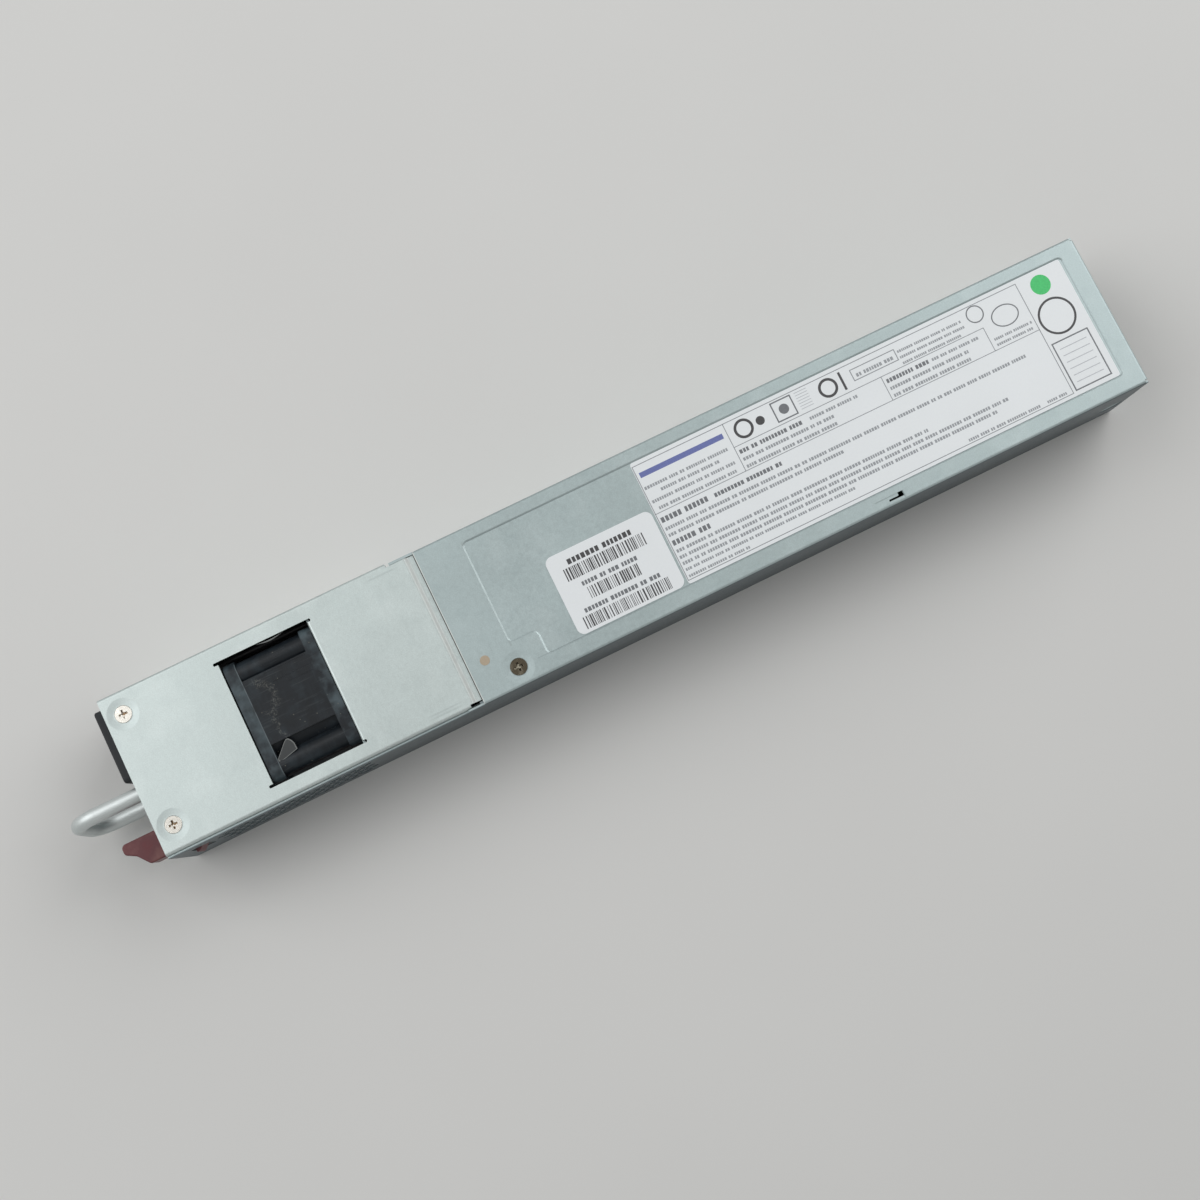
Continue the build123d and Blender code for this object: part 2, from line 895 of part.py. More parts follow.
with BuildPart() as clinch_nuts:
    for place in [*front_screw_places, rear_screw_place]:
        add(place * nut_sink * clinch_nut.part)
    for place in side_screw_places:
        add(place * side_nut_sink * clinch_nut.part)
finish(clinch_nuts, "clinch_nuts")


# Front panel: face plate, top flange for the screws and foot on the floor
with BuildPart() as front_panel:
    block(
        (-panel_half_width, panel_half_width),
        (panel_y, panel_back),
        (sheet, flange_top),
    )
    block(
        (-tongue_half_width, tongue_half_width),
        (panel_back, panel_back + panel_flange_reach),
        (flange_top - sheet, flange_top),
    )
    block(
        (-tongue_half_width, tongue_half_width),
        (panel_back, panel_back + panel_foot_reach),
        (sheet, 2 * sheet),
    )
    with Locations(*[(x, front_screw_y, flange_top) for x in front_screw_x]):
        Cylinder(flange_hole_radius, 4 * sheet, mode=Mode.SUBTRACT)
    # inlet, handle, light and latch openings
    with BuildSketch(facing_front(0, panel_y, 0)):
        with Locations((inlet_x, inlet_z)):
            Rectangle(
                inlet_body_width + 2 * inlet_clearance,
                inlet_body_height + 2 * inlet_clearance,
            )
        with Locations((handle_top_x, handle_top_z), (handle_low_x, handle_low_z)):
            Circle(handle_panel_hole_radius)
        with Locations((light_x, light_z)):
            Circle(light_radius)
        with Locations((latch_opening_x, latch_low - latch_opening_gap)):
            Rectangle(
                half_width - latch_opening_x,
                latch_height + 2 * latch_opening_gap,
                align=(Align.MIN, Align.MIN),
            )
        with Locations((half_width - front_vent_margin, front_vent_low)):
            with Locations(*hexagon_grid(front_vent_columns, front_vent_rows)):
                RegularPolygon(vent_radius, 6, rotation=30)
    extrude(amount=-sheet, mode=Mode.SUBTRACT)
finish(front_panel, "front_panel")


# Rear panel: perforated plate with side flanges, a foot and the connector opening
with BuildPart() as rear_panel:
    block(
        (-panel_half_width, panel_half_width),
        (rear_panel_back, rear_panel_face),
        (sheet, tray_top),
    )
    for side in (-panel_half_width, panel_half_width - sheet):
        block(
            (side, side + sheet),
            (rear_panel_back - rear_flange_reach, rear_panel_back),
            (rear_flange_low, rear_flange_high),
        )
    block(
        (-tongue_half_width, tongue_half_width),
        (rear_panel_back - rear_foot_reach, rear_panel_back),
        (sheet, 2 * sheet),
    )
    with Locations(*side_screw_places):
        Cylinder(flange_hole_radius, 8 * sheet, mode=Mode.SUBTRACT)
    block(
        (
            -connector_half_width - connector_panel_gap,
            connector_half_width + connector_panel_gap,
        ),
        (rear_panel_back, rear_panel_face),
        (
            board_top - connector_panel_gap,
            board_top + connector_height + connector_panel_gap,
        ),
        Mode.SUBTRACT,
    )
    with BuildSketch(facing_front(0, rear_panel_back, rear_vent_low)) as intake:
        for row in range(rear_vent_rows):
            shift = (row % 2) * rear_vent_pitch / 2 - rear_vent_pitch / 4
            z = row * rear_vent_pitch * sqrt(3) / 2
            for column in range(rear_vent_columns):
                x = (column - (rear_vent_columns - 1) / 2) * rear_vent_pitch + shift
                with Locations((x, z)):
                    Circle(rear_vent_radius)
    extrude(intake.sketch, amount=-sheet, mode=Mode.SUBTRACT)
finish(rear_panel, "rear_panel")


# Inlet housing: a shrouded socket with two cut corners
with BuildPart() as inlet_housing:
    with BuildSketch(facing_front(inlet_x, inlet_face, inlet_z)):
        RectangleRounded(inlet_flange_width, inlet_flange_height, inlet_flange_corner)
    extrude(amount=-inlet_flange_depth)
    with BuildSketch(facing_front(inlet_x, panel_y, inlet_z)):
        Rectangle(inlet_body_width, inlet_body_height)
    extrude(amount=-inlet_body_depth)
    fillet(
        inlet_housing.faces().sort_by(Axis.Y)[0].outer_wire().edges(),
        radius=inlet_flange_edge,
    )
    with BuildSketch(facing_front(inlet_x, inlet_face, inlet_z)) as cavity:
        Rectangle(inlet_cavity_width, inlet_cavity_height)
        chamfer(
            cavity.vertices().group_by(Axis.X)[0], length=inlet_cavity_chamfer
        )
    extrude(amount=-inlet_cavity_depth, mode=Mode.SUBTRACT)
    # slots that the pins are pressed through
    with BuildSketch(facing_front(inlet_x, inlet_face, inlet_z)):
        with Locations(
            (pin_offset, pin_spacing / 2),
            (-pin_offset, 0),
            (pin_offset, -pin_spacing / 2),
        ):
            Rectangle(pin_width, pin_thickness)
    extrude(
        amount=inlet_face - inlet_back,
        mode=Mode.SUBTRACT,
    )
finish(inlet_housing, "inlet_housing")

pin_points = (
    (inlet_x + pin_offset, inlet_z + pin_spacing / 2),
    (inlet_x - pin_offset, inlet_z),
    (inlet_x + pin_offset, inlet_z - pin_spacing / 2),
)
pin_root = inlet_face + inlet_cavity_depth
pin_tip = pin_root - pin_length
terminal_end = inlet_back + terminal_length

with BuildPart() as inlet_pins:
    for x, z in pin_points:
        with BuildSketch(facing_front(x, pin_tip, z)):
            Rectangle(pin_width, pin_thickness)
        extrude(amount=pin_tip - inlet_back)
        with BuildSketch(facing_front(x, inlet_back, z)):
            Rectangle(pin_width, terminal_thickness)
        extrude(amount=-terminal_length)
    chamfer(
        inlet_pins.faces().filter_by(Axis.Y).group_by(Axis.Y)[0].edges(),
        length=pin_tip_chamfer,
    )
finish(inlet_pins, "inlet_pins")

lead_wall_x = lead_radius + lead_wall_gap - tray_inner
lead_bend = (inlet_z - pin_spacing / 2 - board_top) * lead_bend_share
with BuildPart() as inlet_leads:
    for (x, z), landing in zip(pin_points, (lead_landings[2], lead_landings[1], lead_landings[0])):
        turn_y = terminal_end + lead_turn_gap
        land_y = board_front + landing
        add(
            lead(
                [
                    (x, terminal_end, z),
                    (x, turn_y, z),
                    (lead_wall_x, turn_y, z),
                    (lead_wall_x, land_y, z),
                    (lead_wall_x, land_y, board_top),
                ],
                lead_bend,
                lead_radius,
            )
        )
finish(inlet_leads, "inlet_leads")


# Pull handle: a rod bent into a U, bored at both ends for its screws
handle_tip_y = panel_y - handle_reach + handle_rod_radius
with BuildPart() as pull_handle:
    with BuildLine() as handle_route:
        FilletPolyline(
            (handle_top_x, panel_y, handle_top_z),
            (handle_top_x, handle_tip_y, handle_top_z),
            (handle_low_x, handle_tip_y, handle_low_z),
            (handle_low_x, panel_y, handle_low_z),
            radius=handle_bend,
        )
    with BuildSketch(facing_front(handle_top_x, panel_y, handle_top_z)):
        Circle(handle_rod_radius)
    sweep(path=handle_route.line)
    for x, z in ((handle_top_x, handle_top_z), (handle_low_x, handle_low_z)):
        with BuildSketch(facing_front(x, panel_y, z)):
            Circle(handle_hole_radius)
        extrude(amount=handle_hole_depth, mode=Mode.SUBTRACT)
finish(pull_handle, "pull_handle")

with BuildPart() as handle_screws:
    for x, z in ((handle_top_x, handle_top_z), (handle_low_x, handle_low_z)):
        with BuildSketch(facing_front(x, panel_back, z)):
            Circle(handle_screw_head_radius)
        extrude(amount=-handle_screw_head_height)
        with BuildSketch(facing_front(x, panel_back, z)):
            Circle(handle_hole_radius)
        extrude(amount=sheet + handle_hole_depth - handle_hole_spare)
finish(handle_screws, "handle_screws")


# Release latch: finger tab, catch tooth and arm in one plastic lever
tab_tip_y = panel_y - latch_reach
with BuildPart() as latch_lever:
    with BuildSketch(Plane.XY.offset(latch_low)) as lever:
        with BuildLine():
            Polyline(
                (latch_inner_x, panel_back + latch_arm_start - latch_arm_taper),
                (latch_inner_x, tab_tip_y),
                (latch_inner_x + latch_tip_width, tab_tip_y),
                (
                    latch_inner_x + latch_tip_width + latch_shoulder_run,
                    tab_tip_y + latch_shoulder_length,
                ),
                (latch_outer_x, tab_tip_y + latch_flank_length),
                (latch_outer_x, latch_tooth_y + latch_tooth_length),
                (latch_pivot_x + latch_end_radius, latch_pivot_y - latch_tooth_back),
                (latch_pivot_x + latch_end_radius, latch_pivot_y),
                (latch_pivot_x - latch_end_radius, latch_pivot_y),
                (latch_pivot_x - latch_end_radius, panel_back + latch_arm_start),
                close=True,
            )
        make_face()
        tab_corners = lever.vertices().filter_by(
            lambda v: v.Y < panel_y - latch_reach / 3
        )
        fillet(tab_corners, radius=latch_tip_radius)
        with Locations((latch_pivot_x, latch_pivot_y)):
            Circle(latch_end_radius)
        with BuildLine():
            Polyline(
                (latch_outer_x - latch_tooth_root, latch_tooth_y),
                (latch_tooth_tip_x, latch_tooth_y),
                (latch_tooth_tip_x, latch_tooth_y + latch_tooth_flat),
                (latch_outer_x, latch_tooth_y + latch_tooth_length),
                (latch_outer_x - latch_tooth_root, latch_tooth_y + latch_tooth_length),
                close=True,
            )
        make_face()
        with Locations((latch_pivot_x, latch_pivot_y)):
            Circle(latch_pin_radius + latch_pin_clearance, mode=Mode.SUBTRACT)
    extrude(amount=latch_height)
finish(latch_lever, "latch_lever")

bracket_low = latch_low - bracket_gap - sheet
bracket_high = latch_top + bracket_gap + sheet
bracket_back_y = latch_pivot_y + bracket_half_length
with BuildPart() as latch_bracket:
    block(
        (tray_inner - sheet, tray_inner),
        (latch_pivot_y - bracket_half_length, bracket_back_y),
        (bracket_low, bracket_high),
    )
    for ear_low in (bracket_low, bracket_high - sheet):
        block(
            (tray_inner - bracket_reach, tray_inner),
            (latch_pivot_y - bracket_half_length, bracket_back_y),
            (ear_low, ear_low + sheet),
        )
    block(
        (tray_inner - bracket_back_reach, tray_inner),
        (bracket_back_y, bracket_back_y + sheet),
        (bracket_low, bracket_high),
    )
    with Locations((latch_pivot_x, latch_pivot_y, bracket_low)):
        Cylinder(latch_pin_radius, 4 * latch_height, mode=Mode.SUBTRACT)
finish(latch_bracket, "latch_bracket")

with BuildPart() as latch_pin:
    with BuildSketch(Plane.XY.offset(bracket_low)):
        with Locations((latch_pivot_x, latch_pivot_y)):
            Circle(latch_pin_radius)
    extrude(amount=bracket_high - bracket_low)
    pin_head_radius = latch_pin_radius + latch_pin_head_step
    with BuildSketch(Plane.XY.offset(bracket_high)):
        with Locations((latch_pivot_x, latch_pivot_y)):
            Circle(pin_head_radius)
    extrude(amount=sheet)
finish(latch_pin, "latch_pin")

spring_tip_x = latch_pivot_x - latch_end_radius - spring_gap
spring_root_x = tray_inner - bracket_back_reach + spring_strip
with BuildPart() as latch_spring:
    with BuildSketch(Plane.XY.offset(latch_low + latch_height / 2 - spring_width / 2)):
        with BuildLine():
            Polyline(
                (spring_root_x, bracket_back_y),
                (spring_root_x + spring_foot, bracket_back_y),
                (spring_root_x + spring_foot, bracket_back_y - spring_strip),
                (spring_root_x + spring_strip, bracket_back_y - spring_strip),
                (spring_tip_x, bracket_back_y - spring_length),
                (spring_tip_x - spring_strip, bracket_back_y - spring_length),
                close=True,
            )
        make_face()
    extrude(amount=spring_width)
finish(latch_spring, "latch_spring")


# Status light: lens in the panel, its small board and its lead
light_back = panel_back + light_length
with BuildPart() as light_lens:
    with BuildSketch(facing_front(light_x, panel_back, light_z)):
        Circle(light_radius)
    extrude(amount=sheet + light_proud)
    fillet(light_lens.faces().sort_by(Axis.Y)[0].edges(), radius=light_proud / 2)
    with BuildSketch(facing_front(light_x, panel_back, light_z)):
        Circle(light_flange_radius)
    extrude(amount=-light_flange)
    with BuildSketch(facing_front(light_x, panel_back, light_z)):
        Circle(light_radius)
    extrude(amount=-light_length)
finish(light_lens, "light_lens")

with BuildPart() as light_board:
    block(
        (light_x - light_board_width / 2, light_x + light_board_width / 2),
        (light_back, light_back + light_board_thickness),
        (
            light_z + light_board_above - light_board_height,
            light_z + light_board_above,
        ),
    )
finish(light_board, "light_board")

light_lead_start = light_back + light_board_thickness
light_lead_turn = light_lead_start + light_lead_run
with BuildPart() as light_lead:
    add(
        lead(
            [
                (light_x, light_lead_start, light_z),
                (light_x, light_lead_turn, light_z),
                (light_lead_x, light_lead_turn, light_z),
                (light_lead_x, board_front + light_lead_landing, light_z),
                (light_lead_x, board_front + light_lead_landing, board_top),
            ],
            light_lead_bend,
            light_lead_radius,
        )
    )
finish(light_lead, "light_lead")


# Fan frame: two square flanges, the round barrel, four posts, a web and the motor base
with BuildPart() as fan_frame:
    for y in (fan_front, fan_rear - fan_flange):
        with BuildSketch(facing_front(fan_x, y, fan_z)):
            RectangleRounded(fan_across, fan_tall, fan_corner)
        extrude(amount=-fan_flange)
    with BuildSketch(facing_front(fan_x, fan_front, fan_z)):
        Circle(fan_barrel_radius)
        Rectangle(fan_across, fan_tall, mode=Mode.INTERSECT)
    extrude(amount=-fan_deep)
    with BuildSketch(facing_front(0, fan_front, 0)):
        with Locations(*fan_hole_points):
            Circle(fan_post_radius)
    extrude(amount=-fan_deep)
    block(
        (fan_x - fan_web_left, fan_x + fan_web_right),
        (fan_front, fan_rear),
        (fan_lift + fan_tall - fan_web_thickness, fan_lift + fan_tall),
    )
    with BuildSketch(facing_front(fan_x, fan_front, fan_z)):
        Circle(fan_bore_radius)
    extrude(amount=-fan_deep, mode=Mode.SUBTRACT)
    with BuildSketch(facing_front(0, fan_front, 0)):
        with Locations(*fan_hole_points):
            Circle(fan_screw_radius)
    extrude(amount=-fan_deep, mode=Mode.SUBTRACT)
    with BuildSketch(facing_front(fan_x, fan_front, fan_z)):
        Circle(fan_base_radius)
        strut_length = fan_bore_radius + fan_flange / 8
        with PolarLocations(strut_length / 2, fan_strut_count, start_angle=45):
            Rectangle(strut_length, fan_strut_width)
    extrude(amount=-fan_base_thickness)
    with BuildSketch(facing_front(fan_x, fan_front + fan_base_thickness, fan_z)):
        Circle(bearing_tube_radius)
    extrude(amount=-bearing_tube_length)
    with BuildSketch(facing_front(fan_x, fan_front + bearing_tube_floor, fan_z)):
        Circle(bearing_radius)
    extrude(
        amount=bearing_tube_floor - fan_base_thickness - bearing_tube_length,
        mode=Mode.SUBTRACT,
    )
finish(fan_frame, "fan_frame")

# Impeller: a cup that carries the blades, turning on its shaft
hub_front = fan_front + fan_base_thickness + hub_gap
hub_rear = fan_rear - hub_set_back
hub_inner_radius = hub_radius - hub_wall
blade_middle_y = (hub_front + hub_rear) / 2
shaft_radius = bearing_bore_radius - shaft_clearance
blade_tip_radius = fan_bore_radius - blade_tip_gap

with BuildPart() as blade:
    for radius, chord, angle in (
        (hub_radius - hub_wall / 2, blade_root_chord, blade_root_angle),
        (fan_bore_radius, blade_tip_chord, blade_tip_angle),
    ):
        root_plane = Plane(
            origin=(fan_x + radius, blade_middle_y, fan_z),
            x_dir=(0, 1, 0),
            z_dir=(1, 0, 0),
        )
        with BuildSketch(root_plane):
            Rectangle(chord, blade_thickness, rotation=angle)
    loft()

with BuildPart() as fan_impeller:
    for index in range(blade_count):
        add(blade.part.rotate(fan_axis, index * 360 / blade_count))
    with BuildSketch(facing_front(fan_x, hub_front, fan_z)):
        Circle(blade_tip_radius)
    extrude(amount=hub_front - hub_rear, mode=Mode.INTERSECT)
    with BuildSketch(facing_front(fan_x, hub_front, fan_z)):
        Circle(hub_radius)
    extrude(amount=hub_front - hub_rear)
    with BuildSketch(facing_front(fan_x, hub_front, fan_z)):
        Circle(hub_inner_radius)
    extrude(amount=hub_front - hub_rear + hub_end_wall, mode=Mode.SUBTRACT)
    with BuildSketch(facing_front(fan_x, hub_rear - hub_end_wall, fan_z)):
        Circle(hub_boss_radius)
    extrude(amount=hub_boss_length)
    with BuildSketch(facing_front(fan_x, hub_rear - hub_end_wall, fan_z)):
        Circle(shaft_radius)
    extrude(amount=hub_boss_length, mode=Mode.SUBTRACT)
finish(fan_impeller, "fan_impeller")

with BuildPart() as fan_shaft:
    shaft_front = fan_front + bearing_tube_floor + shaft_end_gap
    shaft_rear = hub_rear - hub_end_wall
    with BuildSketch(facing_front(fan_x, shaft_front, fan_z)):
        Circle(shaft_radius)
    extrude(amount=shaft_front - shaft_rear)
finish(fan_shaft, "fan_shaft")

with BuildPart() as rotor_magnet:
    with BuildSketch(facing_front(fan_x, hub_front + magnet_set_back, fan_z)):
        Circle(hub_inner_radius)
        Circle(hub_inner_radius - magnet_thickness, mode=Mode.SUBTRACT)
    extrude(amount=-magnet_length)
finish(rotor_magnet, "rotor_magnet")

with BuildPart() as fan_stator:
    with BuildSketch(facing_front(fan_x, hub_front + stator_set_back, fan_z)):
        Circle(stator_radius)
        Circle(stator_radius - stator_rim, mode=Mode.SUBTRACT)
        for turn in (0, 90):
            Rectangle(2 * stator_radius - stator_rim, stator_pole_width, rotation=turn)
        Circle(stator_core_radius)
        with PolarLocations(stator_radius, 4, start_angle=45):
            Rectangle(3 * stator_rim, stator_slot, mode=Mode.SUBTRACT)
        Circle(bearing_tube_radius, mode=Mode.SUBTRACT)
    extrude(amount=-stator_length)
finish(fan_stator, "fan_stator")

bearing_tube_end = fan_front + fan_base_thickness + bearing_tube_length
with BuildPart() as fan_bearings:
    for y in (
        fan_front + bearing_tube_floor + bearing_front_gap,
        bearing_tube_end - bearing_rear_gap - bearing_width,
    ):
        with BuildSketch(facing_front(fan_x, y, fan_z)):
            Circle(bearing_radius)
            Circle(bearing_bore_radius, mode=Mode.SUBTRACT)
        extrude(amount=-bearing_width)
finish(fan_bearings, "fan_bearings")

# Bulkhead behind the fan
with BuildPart() as fan_bulkhead:
    block(
        (-panel_half_width, panel_half_width),
        (fan_rear, bulkhead_rear),
        (sheet, bulkhead_top),
    )
    block(
        (-tongue_half_width, tongue_half_width),
        (bulkhead_rear, bulkhead_rear + bulkhead_foot),
        (sheet, 2 * sheet),
    )
    # notches at both sides for the leads
    for x_span in (
        (-half_width, fan_x - fan_across / 2 - bulkhead_notch_gap),
        (fan_x + fan_across / 2 + bulkhead_notch_gap, half_width),
    ):
        block(
            x_span,
            (fan_rear, bulkhead_rear),
            (bulkhead_notch_low, bulkhead_notch_high),
            Mode.SUBTRACT,
        )
    with BuildSketch(facing_front(0, fan_rear, 0)):
        with Locations((fan_x, fan_z)):
            Circle(bulkhead_opening)
        with Locations(*fan_hole_points):
            Circle(fan_screw_radius + fit_gap)
    extrude(amount=-sheet, mode=Mode.SUBTRACT)
finish(fan_bulkhead, "fan_bulkhead")

with BuildPart() as fan_screws:
    with BuildSketch(facing_front(0, bulkhead_rear, 0)):
        with Locations(*fan_hole_points):
            Circle(fan_screw_head_radius)
    extrude(amount=-fan_screw_head_height)
    with BuildSketch(facing_front(0, bulkhead_rear, 0)):
        with Locations(*fan_hole_points):
            Circle(fan_screw_radius)
    extrude(amount=sheet + fan_screw_grip)
finish(fan_screws, "fan_screws")

fan_lead_radius = 1.1
fan_lead_bend = 2.0
fan_lead_wall_gap = 1.2
fan_lead_from_rear = 5.0
fan_lead_x = tray_inner - fan_lead_wall_gap - fan_lead_radius
fan_lead_y = fan_rear - fan_lead_from_rear
fan_lead_z = 12.0
fan_lead_landing = 9.0
with BuildPart() as fan_lead:
    add(
        lead(
            [
                (fan_x + fan_across / 2, fan_lead_y, fan_lead_z),
                (fan_lead_x, fan_lead_y, fan_lead_z),
                (fan_lead_x, board_front + fan_lead_landing, fan_lead_z),
                (fan_lead_x, board_front + fan_lead_landing, board_top),
            ],
            fan_lead_bend,
            fan_lead_radius,
        )
    )
finish(fan_lead, "fan_lead")


# Main board, with its standoffs, screws and insulating sheet
with BuildPart() as main_board:
    block(
        (-across_board, across_board),
        (board_front, board_rear),
        (board_height, board_top),
    )
    with Locations(*[(x, y, board_height) for x, y in standoff_points]):
        Cylinder(board_hole_radius, 4 * board_thickness, mode=Mode.SUBTRACT)
finish(main_board, "main_board")

with BuildPart() as board_standoffs:
    with BuildSketch(Plane.XY.offset(sheet)):
        with Locations(*standoff_points):
            RegularPolygon(standoff_radius, 6)
            Circle(standoff_bore, mode=Mode.SUBTRACT)
    extrude(amount=board_height - sheet)
finish(board_standoffs, "board_standoffs")

with BuildPart() as board_screws:
    with BuildSketch(Plane.XY.offset(board_top)):
        with Locations(*standoff_points):
            Circle(board_screw_head_radius)
    extrude(amount=board_screw_head_height)
    with BuildSketch(Plane.XY.offset(board_top)):
        with Locations(*standoff_points):
            Circle(standoff_bore)
    extrude(amount=-board_thickness - (board_height - sheet) / 2)
finish(board_screws, "board_screws")

with BuildPart() as insulating_sheet:
    block(
        (insulator_edge_gap - tray_inner, tray_inner - insulator_edge_gap),
        (
            bulkhead_rear + bulkhead_foot + insulator_end_gap,
            rear_panel_back - rear_foot_reach - insulator_end_gap,
        ),
        (sheet, sheet + insulator_thickness),
    )
    with Locations(*[(x, y, sheet) for x, y in standoff_points]):
        Cylinder(insulator_hole_radius, 4 * insulator_thickness, mode=Mode.SUBTRACT)
finish(insulating_sheet, "insulating_sheet")


# Line filter
fuse_radius = 2.9
fuse_length = along_board * 0.075
fuse_cap_length = fuse_length / 4
fuse_cap_step = 0.3
fuse_x = -across_board * 0.83
fuse_y = board_front + along_board * 0.064
fuse_z = board_top + fuse_radius
with BuildPart() as line_fuse:
    with BuildSketch(facing_front(fuse_x, fuse_y, fuse_z)):
        Circle(fuse_radius - fuse_cap_step)
    extrude(amount=-fuse_length)
    for y in (fuse_y, fuse_y + fuse_length - fuse_cap_length):
        with BuildSketch(facing_front(fuse_x, y, fuse_z)):
            Circle(fuse_radius)
        extrude(amount=-fuse_cap_length)
finish(line_fuse, "line_fuse")

choke_x = -across_board * 0.22
choke_y = board_front + along_board * 0.068
choke_radius = across_board * 0.42
choke_hole_radius = across_board * 0.18
choke_height = 12.5
choke_edge = 2.0
with BuildPart() as line_choke:
    with BuildSketch(Plane.XY.offset(board_top)):
        with Locations((choke_x, choke_y)):
            Circle(choke_radius)
            Circle(choke_hole_radius, mode=Mode.SUBTRACT)
    extrude(amount=choke_height)
    fillet(line_choke.faces().sort_by(Axis.Z)[-1].edges(), radius=choke_edge)
finish(line_choke, "line_choke")

box_capacitor_x = across_board * 0.51
box_capacitor_width = across_board * 0.36
box_capacitor_edge = 0.8
box_capacitor_tall = 17.0
box_capacitor_low = 13.5
with BuildPart() as filter_capacitors:
    for start, length, height in (
        (0.041, 0.095, box_capacitor_tall),
        (0.152, 0.068, box_capacitor_low),
    ):
        capacitor_y = board_front + along_board * start
        block(
            (
                box_capacitor_x - box_capacitor_width / 2,
                box_capacitor_x + box_capacitor_width / 2,
            ),
            (capacitor_y, capacitor_y + along_board * length),
            (board_top, board_top + height),
        )
    fillet(filter_capacitors.edges().filter_by(Axis.Z), radius=box_capacitor_edge)
finish(filter_capacitors, "filter_capacitors")

disc_radius = 3.2
disc_thickness = 3.0
disc_x = across_board * 0.85
with BuildPart() as disc_capacitors:
    for share in (0.068, 0.105):
        disc_y = board_front + along_board * share
        with BuildSketch(facing_front(disc_x, disc_y, board_top + disc_radius)):
            Circle(disc_radius)
        extrude(amount=-disc_thickness)
finish(disc_capacitors, "disc_capacitors")

relay_x = -across_board * 0.75
relay_width = across_board * 0.4
relay_y = board_front + along_board * 0.148
relay_length = along_board * 0.066
relay_height = 15.4
relay_edge = 0.6
with BuildPart() as inrush_relay:
    block(
        (relay_x - relay_width / 2, relay_x + relay_width / 2),
        (relay_y, relay_y + relay_length),
        (board_top, board_top + relay_height),
    )
    fillet(inrush_relay.faces().sort_by(Axis.Z)[-1].edges(), radius=relay_edge)
finish(inrush_relay, "inrush_relay")

bridge_lift = 3.0
bridge_left = -across_board * 0.45
bridge_width = across_board * 0.67
bridge_y = board_front + along_board * 0.162
bridge_thickness = 4.6
bridge_height = 17.0
bridge_corner = 2.0
bridge_lead = 1.0
bridge_lead_set_back = 1.8
with BuildPart() as bridge_rectifier:
    block(
        (bridge_left, bridge_left + bridge_width),
        (bridge_y, bridge_y + bridge_thickness),
        (board_top + bridge_lift, board_top + bridge_lift + bridge_height),
    )
    bridge_top_edges = bridge_rectifier.edges().filter_by(Axis.Y).sort_by(Axis.Z)
    chamfer(bridge_top_edges[-1], length=bridge_corner)
    for index in range(4):
        x = bridge_left + (index + 0.5) * bridge_width / 4
        y = bridge_y + bridge_lead_set_back
        block(
            (x - bridge_lead / 2, x + bridge_lead / 2),
            (y, y + bridge_lead),
            (board_top, board_top + bridge_lift),
        )
finish(bridge_rectifier, "bridge_rectifier")


# Power factor stage
toroid_x = -across_board * 0.36
toroid_y = board_front + along_board * 0.278
toroid_radius = across_board * 0.42
toroid_hole_radius = across_board * 0.22
toroid_height = 11.0
winding_layer = 1.3
winding_turn = 330.0
toroid_base = board_top + winding_layer
with BuildPart() as boost_choke_core:
    with BuildSketch(Plane.XY.offset(toroid_base)):
        with Locations((toroid_x, toroid_y)):
            Circle(toroid_radius)
            Circle(toroid_hole_radius, mode=Mode.SUBTRACT)
    extrude(amount=toroid_height)
finish(boost_choke_core, "boost_choke_core")

with BuildPart() as boost_choke_winding:
    with BuildSketch(facing_front(toroid_x, toroid_y, toroid_base)):
        with Locations((toroid_hole_radius - winding_layer, -winding_layer)):
            Rectangle(
                toroid_radius - toroid_hole_radius + 2 * winding_layer,
                toroid_height + 2 * winding_layer,
                align=(Align.MIN, Align.MIN),
            )
        with Locations((toroid_hole_radius, 0)):
            Rectangle(
                toroid_radius - toroid_hole_radius,
                toroid_height,
                align=(Align.MIN, Align.MIN),
                mode=Mode.SUBTRACT,
            )
    revolve(
        axis=Axis((toroid_x, toroid_y, 0), (0, 0, 1)), revolution_arc=winding_turn
    )
finish(boost_choke_winding, "boost_choke_winding")

sink_plate = 2.0
sink_fin = 1.0
sink_fin_reach = 2.2
sink_fin_pitch = 4.0
sink_fin_count = 7
sink_lift = 0.4
sink_top_gap = 3.85
sink_height = above_board - sink_top_gap
sink_edge_gap = 0.2
sink_x = across_board - sink_plate - sink_fin_reach - sink_edge_gap


def finned_plate(x_span, y_span, outward):
    """A heatsink plate with fins along it on its outward side, in the part being built."""
    block(x_span, y_span, (board_top, board_top + sink_height))
    fin_start = x_span[1] if outward > 0 else x_span[0] - sink_fin_reach
    for index in range(sink_fin_count):
        z = board_top + sink_lift + index * sink_fin_pitch
        block((fin_start, fin_start + sink_fin_reach), y_span, (z, z + sink_fin))


primary_sink_y = board_front + along_board * 0.229
primary_sink_length = along_board * 0.218
with BuildPart() as primary_heatsink:
    finned_plate(
        (sink_x, sink_x + sink_plate),
        (primary_sink_y, primary_sink_y + primary_sink_length),
        1,
    )
finish(primary_heatsink, "primary_heatsink")

